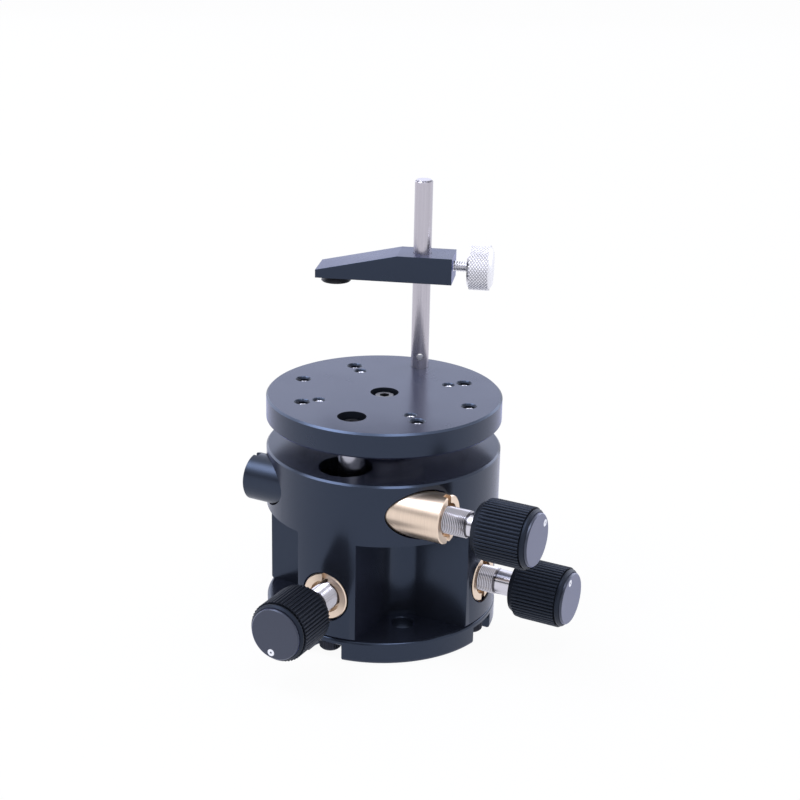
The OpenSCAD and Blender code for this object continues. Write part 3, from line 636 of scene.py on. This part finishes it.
for name in ADJUSTERS:
    along, lay = adjuster_axis(name)
    spots = outline(name + "_screw", lay)
    radius = max(r for z, r in spots)
    inner = min(z for z, r in spots)
    shank_end = max(z for z, r in spots)
    shank_radius = max(r for z, r in spots if z == shank_end)
    groove = max(z for z, r in spots if r > radius - CREST_ROOM) + END_BEVEL
    shank_start = groove + GROOVE
    mesh = thread_mesh(name + "_thread", radius, groove - inner, FINE_PITCH, FINE_DEPTH, threaded_steel)
    mesh.transform(lay @ Matrix.Translation((0, 0, (inner + groove) / 2 * MM)))
    thread_piece = add_piece(name + "_thread", mesh, threaded_steel, name + "_knob")
    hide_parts(name + "_screw")
    neck = shank_radius - GROOVE_DEPTH
    shank = turned(name + "_shank", [
        (0, groove - GROOVE), (neck, groove - GROOVE), (neck, shank_start),
        (shank_radius - SHANK_BEVEL, shank_start), (shank_radius, shank_start + SHANK_BEVEL),
        (shank_radius, shank_end), (0, shank_end)])
    plain_radius = (shank_radius - SHANK_BEVEL) * MM
    # The neck of the run-out groove is the mask of its painted shade.
    deep = [float(vertex.co.xy.length < plain_radius) for vertex in shank.vertices]
    shank.attributes.new("groove", "FLOAT", "POINT").data.foreach_set("value", deep)
    shank.transform(lay)
    add_piece(name + "_shank", shank, threaded_steel, name + "_knob")
    print(name, "screw: thread", round(groove - inner, 1), "mm long,", len(mesh.polygons), "faces")

# %% [markdown]
# ## Thumb screw
# The thumb screw that locks the arm has a diamond knurl: two families of crossing grooves leave rows
# of small pyramids, each row set half a step round from the last. The tree lays a flat grid of
# points, shifts every other row, rolls the grid round the head and sets a pyramid on each point.

# %% Knurl tree
PYRAMID_TOP = 0.18

knurl_tree, size = new_tree("diamond_knurl", [
    ("Around", "Int"), ("Rows", "Int"), ("Radius", "Float"), ("Length", "Float"),
    ("Height", "Float"), ("Finish", "Material")])
row_count = calc(knurl_tree, "SUBTRACT", size["Rows"], 1.0)
step = calc(knurl_tree, "DIVIDE", 2 * math.pi, size["Around"])
sheet_width = calc(knurl_tree, "SUBTRACT", 2 * math.pi, step)
sheet = node(knurl_tree, "GeometryNodeMeshGrid", Size_X=sheet_width, Size_Y=row_count,
             Vertices_X=size["Around"], Vertices_Y=size["Rows"])
spot = node(knurl_tree, "GeometryNodeInputPosition").outputs[0]
parts = node(knurl_tree, "ShaderNodeSeparateXYZ", Vector=spot).outputs
half_rows = calc(knurl_tree, "DIVIDE", row_count, 2.0)
row = calc(knurl_tree, "ROUND", calc(knurl_tree, "ADD", parts["Y"], half_rows))
half_step = calc(knurl_tree, "DIVIDE", step, 2.0)
shift = calc(knurl_tree, "MULTIPLY", calc(knurl_tree, "MODULO", row, 2.0), half_step)
angle = calc(knurl_tree, "ADD", parts["X"], shift)
row_height = calc(knurl_tree, "DIVIDE", size["Length"], size["Rows"])
rise = calc(knurl_tree, "MULTIPLY", parts["Y"], row_height)
rolled = node(knurl_tree, "ShaderNodeCombineXYZ",
              X=calc(knurl_tree, "MULTIPLY", calc(knurl_tree, "COSINE", angle), size["Radius"]),
              Y=calc(knurl_tree, "MULTIPLY", calc(knurl_tree, "SINE", angle), size["Radius"]), Z=rise)
points = node(knurl_tree, "GeometryNodeSetPosition", Geometry=sheet.outputs["Mesh"],
              Position=rolled.outputs[0])
pyramid = node(knurl_tree, "GeometryNodeMeshCone", Vertices=4, Radius_Top=PYRAMID_TOP,
               Radius_Bottom=1.0, Depth=1.0)
# The foot of each pyramid is marked as deep, which gives painted shade between the pyramids.
foot_side = calc(knurl_tree, "LESS_THAN", parts["Z"], 0.5)
stood = node(knurl_tree, "GeometryNodeTransform", Rotation=Euler((0, math.radians(90), 0)),
             Geometry=store_groove(knurl_tree, pyramid.outputs["Mesh"], foot_side))
level = node(knurl_tree, "ShaderNodeVectorMath", {"operation": "MULTIPLY"}, _0=spot, _1=(1, 1, 0))
outward = node(knurl_tree, "FunctionNodeAlignRotationToVector", {"axis": "X", "pivot_axis": "Z"},
               Vector=level.outputs[0])
half_width = calc(knurl_tree, "MULTIPLY", half_step, size["Radius"])
diamond = node(knurl_tree, "ShaderNodeCombineXYZ", X=size["Height"], Y=half_width, Z=row_height)
diamonds = node(knurl_tree, "GeometryNodeInstanceOnPoints", Points=points.outputs[0],
                Instance=stood.outputs[0], Rotation=outward.outputs[0], Scale=diamond.outputs[0])
end_tree(knurl_tree, diamonds.outputs[0], size["Finish"])
print("knurl tree nodes:", len(knurl_tree.nodes))

# %% [markdown]
# The head itself is a bevelled disc, and the stem is a coarse metric thread that runs into the arm.

# %% Thumb screw pieces
KNURL_HEIGHT = 0.2
KNURL_AROUND = 36
KNURL_ROWS = 13
KNURL_SINK = 0.02
KNURL_MARGIN = 1.4
KNURL_OFFSET = 0.1
COARSE_PITCH = 0.7
COARSE_DEPTH = 0.35
THREAD_RADIUS = 1.5
HEAD_LENGTH = 6.8
INNER_BEVEL = 0.7
OUTER_BEVEL = 0.9
CROWN_INSET = 1.2
CROWN_DROP = 0.15

post_low, post_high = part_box("post")
post_axis = (post_low + post_high) / 2
screw_joint = next(joint for joint in frame["joints"] if joint["name"] == "thumb_screw_turn")
screw_along = Vector(screw_joint["axis"])
if screw_along.x < 0:
    screw_along = -screw_along
screw_low, screw_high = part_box("thumb_screw")
foot = Vector((post_axis.x, post_axis.y, (screw_high.z + screw_low.z) / 2))
distances = [(vertex.co - foot).dot(screw_along) / MM
             for vertex in cad_nodes["thumb_screw"].data.vertices]
head_start = foot + screw_along * (max(distances) - HEAD_LENGTH) * MM
heading = Matrix.Rotation(math.atan2(screw_along.y, screw_along.x), 4, "Z")
lay_screw = Matrix.Translation(head_start) @ heading @ Matrix.Rotation(math.radians(90), 4, "Y")
core = radius_of("thumb_screw") - KNURL_HEIGHT
head_mesh = turned("thumb_head", [
    (0, 0), (core - INNER_BEVEL, 0), (core, INNER_BEVEL), (core, HEAD_LENGTH - OUTER_BEVEL),
    (core - OUTER_BEVEL, HEAD_LENGTH - CROWN_DROP), (core - CROWN_INSET, HEAD_LENGTH),
    (0, HEAD_LENGTH)])
head_mesh.transform(lay_screw)
thumb_head = add_piece("thumb_head", head_mesh, nickel, "thumb_screw")
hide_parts("thumb_screw")
knurl_mesh = grow("thumb_knurl", knurl_tree, Around=KNURL_AROUND, Rows=KNURL_ROWS,
                  Radius=(core + KNURL_HEIGHT / 2 - KNURL_SINK) * MM,
                  Length=(HEAD_LENGTH - KNURL_MARGIN) * MM, Height=KNURL_HEIGHT * MM,
                  Finish=knurled_nickel)
knurl_mesh.transform(lay_screw @ Matrix.Translation((0, 0, (HEAD_LENGTH / 2 - KNURL_OFFSET) * MM)))
add_piece("thumb_knurl", knurl_mesh, knurled_nickel, "thumb_screw")
stem_length = max(distances) - HEAD_LENGTH - min(distances)
stem_mesh = thread_mesh("thumb_thread", THREAD_RADIUS, stem_length, COARSE_PITCH, COARSE_DEPTH,
                        knurled_nickel)
stem_mesh.transform(lay_screw @ Matrix.Translation((0, 0, -stem_length / 2 * MM)))
add_piece("thumb_thread", stem_mesh, knurled_nickel, "thumb_screw")
print("thumb screw: knurl of", len(knurl_mesh.polygons), "faces, stem", round(stem_length, 1), "mm")

# %% [markdown]
# ## Tapped holes
# A tapped hole shows bright glints from its thread. Each thread is a thin bead wound down the wall of
# the hole. The tree winds one bead as a spiral and sets a copy at every hole, so the hole circles,
# which come from the record of the CAD model, are all that it needs.

# %% Tapped thread tree
BEAD_STEPS = 24
BEAD_SIDES = 4

tap_tree, size = new_tree("tapped_threads", [
    ("Holes", "Geometry"), ("Radius", "Float"), ("Length", "Float"), ("Pitch", "Float"),
    ("Bead", "Float"), ("Finish", "Material")])
spiral = node(tap_tree, "GeometryNodeCurveSpiral", Resolution=BEAD_STEPS,
              Start_Radius=size["Radius"], End_Radius=size["Radius"], Height=size["Length"],
              Rotations=calc(tap_tree, "DIVIDE", size["Length"], size["Pitch"]))
section = node(tap_tree, "GeometryNodeCurvePrimitiveCircle", Resolution=BEAD_SIDES,
               Radius=size["Bead"])
bead = node(tap_tree, "GeometryNodeCurveToMesh", Curve=spiral.outputs[0],
            Profile_Curve=section.outputs["Curve"], Fill_Caps=True)
beads = node(tap_tree, "GeometryNodeInstanceOnPoints", Points=size["Holes"],
             Instance=bead.outputs[0])
end_tree(tap_tree, beads.outputs[0], size["Finish"])
print("tapped thread tree nodes:", len(tap_tree.nodes))

# %% [markdown]
# The platform stands a few degrees off square. The yaw pin hangs from its front, so the direction of
# the pin tells the turn, and the holes lie on the diagonals and at the sides of that turned frame.

# %% Threads in the platform
BEAD = 0.16
THREAD_FOOT = 0.2
TOP_ROOM = 0.9
LARGE_PITCH = 0.7
SMALL_PITCH = 0.5

platform_low, platform_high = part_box("platform")
pin_low, pin_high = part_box("yaw_pin")
pin_axis = (pin_low + pin_high) / 2
platform_turn = math.degrees(math.atan2(pin_axis.x, -pin_axis.y))
mounts = {mount["name"]: mount["dims"] for mount in frame["record"]["mounts"]}
large, small = mounts["platform_large_holes"], mounts["platform_small_holes"]
side_radius = post_axis.xy.length / MM


def hole_points(radius, turns):
    """Points on a circle of the platform, at the foot of the threads."""
    spoke = Vector((radius * MM, 0, platform_low.z + THREAD_FOOT * MM))
    return [Matrix.Rotation(math.radians(turn + platform_turn), 3, "Z") @ spoke for turn in turns]


DIAGONALS = (45, 135, 225, 315)
tap_sets = {
    "large_threads": (hole_points(large["pcd_mm"] / 2, DIAGONALS) + hole_points(side_radius, (0, 180)),
                      large["hole_r_mm"], LARGE_PITCH),
    "small_threads": (hole_points(small["pcd_mm"] / 2, DIAGONALS), small["hole_r_mm"], SMALL_PITCH)}
depth = platform_high.z - platform_low.z - TOP_ROOM * MM
for name, (spots, radius, pitch) in tap_sets.items():
    mesh = grow(name, tap_tree, points=spots, Radius=radius * MM, Length=depth, Pitch=pitch * MM,
                Bead=BEAD * MM, Finish=tapped_wall)
    add_piece(name, mesh, tapped_wall, "platform")
    print(name, "in", len(spots), "holes:", len(mesh.polygons), "faces")

# %% [markdown]
# ## Broken edges
# No machined edge is truly sharp: it is broken with a file or a brush, and the narrow bevel catches a
# bright line of light. The copies below take the CAD mesh, join its loose triangles, melt the flat
# faces together and bevel what is still an edge. The CAD node itself stays untouched. The copies of
# the platform and the post get no new bevels, only a finish for each kind of face: plain faces,
# slanted edges, and the walls of the holes, which get a darker finish as painted shade.

# %% Finishes by kind of face
SLANTED = (0.3, 0.9)
INNER_SHARE = 0.95
END_DEPTH = 0.1
PLAIN, EDGE, WALL = range(3)
SOFT_EDGES = {
    "housing": (0.25, anodised_turned, anodised_turned, "base"),
    "base_plate": (0.25, anodised_turned, anodised_turned, "base"),
    "platform": (0.0, anodised_stage, anodised_edge, "platform"),
    "clamp_arm": (0.35, anodised_milled, anodised_edge, "clamp"),
    "post": (0.0, drawn_steel, drawn_steel, "post"),
}
# Painted shade: the walls of the holes take a darker, duller finish than the faces outside.
SHADED_HOLE_WALLS = {"platform": anodised_knob, "post": shaded_drilled_wall}


def kind_of(face, low, high):
    """The kind of a face. Well inside the outline, and away from both ends, it is the wall of a hole."""
    spot = face.calc_center_median()
    inner = (spot - (low + high) / 2).xy.length < INNER_SHARE * (high.x - low.x) / 2
    if inner and low.z + END_DEPTH * MM < spot.z < high.z - END_DEPTH * MM:
        return WALL
    return EDGE if SLANTED[0] < face.normal.z < SLANTED[1] else PLAIN


print("hole walls with a finish of their own:", ", ".join(SHADED_HOLE_WALLS))

# %% Pieces with broken edges
WELD = 0.002
FLAT_ANGLE = 0.5
EDGE_ANGLE = 40
BEVEL_SHARP = 15


def broken_edges(node_name, width_mm, finish, edge_finish):
    """A copy of a CAD node's mesh with narrow bevels on its edges, which take a finish of their own."""
    finishes = (finish, edge_finish, SHADED_HOLE_WALLS.get(node_name, finish))
    kept = list(dict.fromkeys(finishes))
    mesh = cad_nodes[node_name].data.copy()
    mesh.materials.clear()
    for material in kept:
        mesh.materials.append(material)
    low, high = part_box(node_name)
    shape = bmesh.new()
    shape.from_mesh(mesh)
    bmesh.ops.remove_doubles(shape, verts=shape.verts, dist=WELD * MM)
    bmesh.ops.dissolve_limit(shape, angle_limit=math.radians(FLAT_ANGLE), verts=shape.verts,
                             edges=shape.edges)
    for face in shape.faces:
        face.material_index = kept.index(finishes[kind_of(face, low, high)])
    shape.to_mesh(mesh)
    shape.free()
    holder = bpy.data.objects.new(node_name + "_bevel", mesh)
    bpy.context.scene.collection.objects.link(holder)
    bevel = holder.modifiers.new("broken_edge", "BEVEL")
    bevel.show_viewport = width_mm > 0
    bevel.width = width_mm * MM
    bevel.segments = 1
    bevel.material = kept.index(edge_finish)
    bevel.limit_method = "ANGLE"
    bevel.angle_limit = math.radians(EDGE_ANGLE)
    shown = holder.evaluated_get(bpy.context.evaluated_depsgraph_get())
    done = bpy.data.meshes.new_from_object(shown)
    bpy.data.objects.remove(holder)
    return smooth(done, BEVEL_SHARP)


slots = {part["node"]: part["material_slot"] for part in frame["record"]["subparts"]}
for name, (width, finish, edge_finish, body) in SOFT_EDGES.items():
    mesh = broken_edges(name, width, finish, edge_finish)
    piece = add_piece(name + "_edged", mesh, None, body)
    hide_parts(name)
    print(name, "with broken edges:", len(mesh.polygons), "faces")

# %% [markdown]
# ## Coil springs
# Behind each plunger a coil spring presses against the closed end of its tube. When the adjuster
# drives the plunger back, the real coil gets shorter. Here each coil is a smoothed copy of the CAD
# coil with a stainless finish, set where the CAD spring was, which it replaces.

# %% Coil springs
for name in ADJUSTERS:
    along, lay = adjuster_axis(name)
    coil = bpy.data.objects.new(name + "_coil", smooth(cad_nodes[name + "_spring"].data.copy()))
    bpy.context.scene.collection.objects.link(coil)
    coil.data.materials.clear()
    coil.data.materials.append(stainless["y" if name == "front" else "x"])
    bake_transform(coil)
    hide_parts(name + "_spring")

# %% [markdown]
# ## Index marks
# Each cap has a small white ring near its rim, so that the user can count turns. It is a thin painted
# washer, turned like the rest and laid on the cap's face.

# %% White marks on the caps
MARK_OUTER = 0.95
MARK_INNER = 0.28
MARK_HEIGHT = 0.03
MARK_INSET = 1.6
MARK_STEPS = 32
MARK_TURNS = {"yaw": 55, "side": -16, "front": 192}

for name in ADJUSTERS:
    along, lay = adjuster_axis(name)
    turn = math.radians(MARK_TURNS[name])
    offset = (radius_of(name + "_cap") - MARK_INSET) * MM
    face = reach(name + "_cap", along)[1]
    ring = turned(name + "_mark", [
        (MARK_INNER, -MARK_HEIGHT), (MARK_OUTER, -MARK_HEIGHT), (MARK_OUTER, MARK_HEIGHT),
        (MARK_INNER, MARK_HEIGHT), (MARK_INNER, -MARK_HEIGHT)], MARK_STEPS)
    spot = Vector((-offset * math.cos(turn), offset * math.sin(turn), face))
    ring.transform(lay @ Matrix.Translation(spot))
    add_piece(name + "_mark", ring, mark_paint, name + "_knob")
print("index marks:", len(ADJUSTERS))

# %% [markdown]
# ## Finishes on the CAD nodes
# The CAD nodes that stay as they are take the finish of their material slot. Turned pieces along an
# adjuster need their lathe lines round that adjuster's own axis, so the front ones differ.

# %% Finishes by slot
UPRIGHT = ("yaw_pin", "yaw_pin_screw")
SUNK_SCREWS = ("centre_screw", "yaw_pin_screw")
anodised_by_axis = {"x": anodised_tube_x, "y": anodised_tube_y, "z": anodised_turned}
lathe_finishes = {"brass": brass, "stainless_steel": stainless, "anodised_aluminium": anodised_by_axis}
plain_finishes = {
    "hardened_steel": ground_steel, "nickel_plate": nickel, "black_steel": black_oxide,
    "knob_aluminium": anodised_knob, "black_nylon": black_nylon, "white_nylon": white_nylon}


def finish_for(node_name, slot):
    """The finish of a CAD node, with its lathe lines round its own axis."""
    if node_name.endswith("_cap"):
        return anodised_cap
    # The sunk screw heads get the lighter oxide, which is painted light.
    if node_name in SUNK_SCREWS:
        return lightened_oxide
    if slot in plain_finishes:
        return plain_finishes[slot]
    on_adjuster = node_name.split("_")[0] in ADJUSTERS and node_name not in UPRIGHT
    axis = ("y" if node_name.startswith("front") else "x") if on_adjuster else "z"
    return lathe_finishes[slot][axis]


for name, item in cad_nodes.items():
    item.data.materials.clear()
    item.data.materials.append(finish_for(name, slots[name]))
print("finishes set on", len(cad_nodes), "CAD nodes")

# %% [markdown]
# ## Floor and light
# The photograph has a white ground, soft light from both sides and hardly any shadow. The floor shows
# its own white to the camera and to mirror images, and keeps a share of real shading for the shadow.
# The Light Path node tells which kind of ray asks, so both the floor and the world can use it.

# %% What a ray sees
SKY_WHITE = (0.91, 0.92, 1.0)


def white_seen(tree):
    """White for the camera, and a slightly cool white for every other ray."""
    tone = tree.nodes.new("ShaderNodeMix")
    tone.data_type = "RGBA"
    tone.inputs["A"].default_value = (*SKY_WHITE, 1)
    tone.inputs["B"].default_value = (1, 1, 1, 1)
    ray = tree.nodes.new("ShaderNodeLightPath")
    tree.links.new(ray.outputs["Is Camera Ray"], tone.inputs["Factor"])
    return tone.outputs["Result"]


def seen_rays(tree):
    """A value that is 1 for rays of the camera, of mirror images and through glass, else 0."""
    ray = tree.nodes.new("ShaderNodeLightPath")
    mirrored = tree.nodes.new("ShaderNodeMath")
    mirrored.operation = "MAXIMUM"
    seen = tree.nodes.new("ShaderNodeMath")
    seen.operation = "MAXIMUM"
    tree.links.new(ray.outputs["Is Glossy Ray"], mirrored.inputs[0])
    tree.links.new(ray.outputs["Is Transmission Ray"], mirrored.inputs[1])
    tree.links.new(ray.outputs["Is Camera Ray"], seen.inputs[0])
    tree.links.new(mirrored.outputs[0], seen.inputs[1])
    return seen.outputs[0]


print("rays other than the camera's see the white", SKY_WHITE)

# %% White floor
FLOOR_SIZE = 6.0
FLOOR_DROP = 0.2
FLOOR_SHARE = 0.95
FLOOR_GREY = (0.86, 0.86, 0.86)


def card(name, width, height):
    """A flat rectangle round the origin."""
    x, y = width / 2, height / 2
    mesh = bpy.data.meshes.new(name)
    mesh.from_pydata([(-x, -y, 0), (x, -y, 0), (x, y, 0), (-x, y, 0)], [], [(0, 1, 2, 3)])
    return mesh


floor_mesh = card("floor", FLOOR_SIZE, FLOOR_SIZE)
floor = bpy.data.objects.new("floor", floor_mesh)
floor.location.z = -FLOOR_DROP * MM
bpy.context.scene.collection.objects.link(floor)
floor_paint = bpy.data.materials.new("floor_paint")
floor_paint.use_nodes = True
tree = floor_paint.node_tree
tree.nodes.clear()
diffuse = tree.nodes.new("ShaderNodeBsdfDiffuse")
diffuse.inputs["Color"].default_value = (*FLOOR_GREY, 1)
glow = tree.nodes.new("ShaderNodeEmission")
tree.links.new(white_seen(tree), glow.inputs["Color"])
share = tree.nodes.new("ShaderNodeMath")
share.operation = "MULTIPLY"
share.inputs[1].default_value = FLOOR_SHARE
blend = tree.nodes.new("ShaderNodeMixShader")
tree.links.new(seen_rays(tree), share.inputs[0])
tree.links.new(share.outputs[0], blend.inputs["Fac"])
tree.links.new(diffuse.outputs[0], blend.inputs[1])
tree.links.new(glow.outputs[0], blend.inputs[2])
tree.links.new(blend.outputs[0], tree.nodes.new("ShaderNodeOutputMaterial").inputs["Surface"])
floor_mesh.materials.append(floor_paint)
print("floor", FLOOR_SIZE, "m wide")

# %% [markdown]
# The world is as white as the floor where the camera or a mirror image sees it. For all other rays it
# is a light, and there it is dimmer, so that the object is lit at a plain level.

# %% White surroundings
AMBIENT = 0.75

world = bpy.data.worlds.new("studio")
bpy.context.scene.world = world
world.use_nodes = True
tree = world.node_tree
level = tree.nodes.new("ShaderNodeMapRange")
level.inputs["To Min"].default_value = AMBIENT
level.inputs["To Max"].default_value = 1.0
tree.links.new(seen_rays(tree), level.inputs["Value"])
tree.links.new(level.outputs["Result"], tree.nodes["Background"].inputs["Strength"])
tree.links.new(white_seen(tree), tree.nodes["Background"].inputs["Color"])
print("surroundings: ambient level", AMBIENT)

# %% [markdown]
# Three large soft lamps stand at the sides and behind, low enough that the flat tops mirror them, which
# gives these their satin sheen. Two smaller lamps hang high in front: the left one lights the front,
# and the right one draws a bright line along the bevels of the platform and the arm.

# %% Soft lamps
AIM = Vector((0, 0, 0.05))
COOL_WHITE = (0.80, 0.84, 1.0)
SKY_BLUE = (0.62, 0.70, 1.0)
LAMPS = {
    "left_lamp": ((-1.15, 0.3, 0.45), (1.1, 0.8), 3.5, COOL_WHITE),
    "right_lamp": ((0.60, 1.13, 0.33), (1.0, 0.6), 4.0, COOL_WHITE),
    "back_lamp": ((-0.56, 1.06, 0.45), (1.0, 0.7), 1.2, SKY_BLUE),
    "top_lamp": ((-0.50, -0.40, 1.05), (0.6, 0.6), 7.0, COOL_WHITE),
    "edge_lamp": ((0.42, -0.37, 1.13), (0.4, 0.4), 3.0, COOL_WHITE),
}
for name, (spot, (width, height), watts, colour) in LAMPS.items():
    lamp = bpy.data.lights.new(name, "AREA")
    lamp.shape = "RECTANGLE"
    lamp.size = width
    lamp.size_y = height
    lamp.energy = watts
    lamp.color = colour
    holder = bpy.data.objects.new(name, lamp)
    holder.location = spot
    holder.rotation_euler = (AIM - Vector(spot)).to_track_quat("-Z", "Y").to_euler()
    bpy.context.scene.collection.objects.link(holder)
print("lamps:", ", ".join(LAMPS))

# %% [markdown]
# Round bright metal needs something dark to mirror, or it looks like plastic. Here that is the dark
# room behind the camera: one long, low card that only mirror images see.

# %% Dark room behind the camera
ROOM_SPOT = Vector((-0.60, -1.05, 0.53))
ROOM_SIZE = (2.8, 0.30)
ROOM_TONE = (0.03, 0.03, 0.03)
ROOM_GLOSS = 0.8

room_mesh = card("dark_room", *ROOM_SIZE)
room_mesh.materials.append(grained("room_paint", ROOM_TONE, ROOM_GLOSS))
room = bpy.data.objects.new("dark_room", room_mesh)
room.location = ROOM_SPOT
room.rotation_euler = (ROOM_SPOT - AIM).to_track_quat("Z", "Y").to_euler()
bpy.context.scene.collection.objects.link(room)
room.visible_camera = False
room.visible_diffuse = False
room.visible_shadow = False
print("dark room", ROOM_SIZE, "m behind the camera")

# %% [markdown]
# ## Camera
# The camera was found by matching the rims of the base, the housing and the platform, which are true
# circles, with their ellipses in the photograph. It stands in front and to the right, a little above
# the platform, and leans by about one degree.

# %% Camera at the photograph's angle
CAMERA_SPOT = Vector((201.3, -377.3, 218.5)) * MM
CAMERA_AIM = Vector((3.76, 1.96, 63.42)) * MM
CAMERA_LEAN = 1.206
LENS = 75.4
SENSOR = 36
NEAR = 0.01

camera_data = bpy.data.cameras.new("camera")
camera_data.lens = LENS
camera_data.sensor_width = SENSOR
camera_data.clip_start = NEAR
camera = bpy.data.objects.new("camera", camera_data)
camera.rotation_mode = "QUATERNION"
camera.location = CAMERA_SPOT
look = (CAMERA_AIM - CAMERA_SPOT).to_track_quat("-Z", "Y").to_matrix().to_4x4()
lean = Matrix.Rotation(math.radians(CAMERA_LEAN), 4, "Z")
camera.rotation_quaternion = (look @ lean).to_quaternion()
bpy.context.scene.collection.objects.link(camera)
bpy.context.scene.camera = camera
bpy.context.scene.view_settings.view_transform = "Standard"
print("camera", round((CAMERA_AIM - CAMERA_SPOT).length / MM), "mm from its aim")
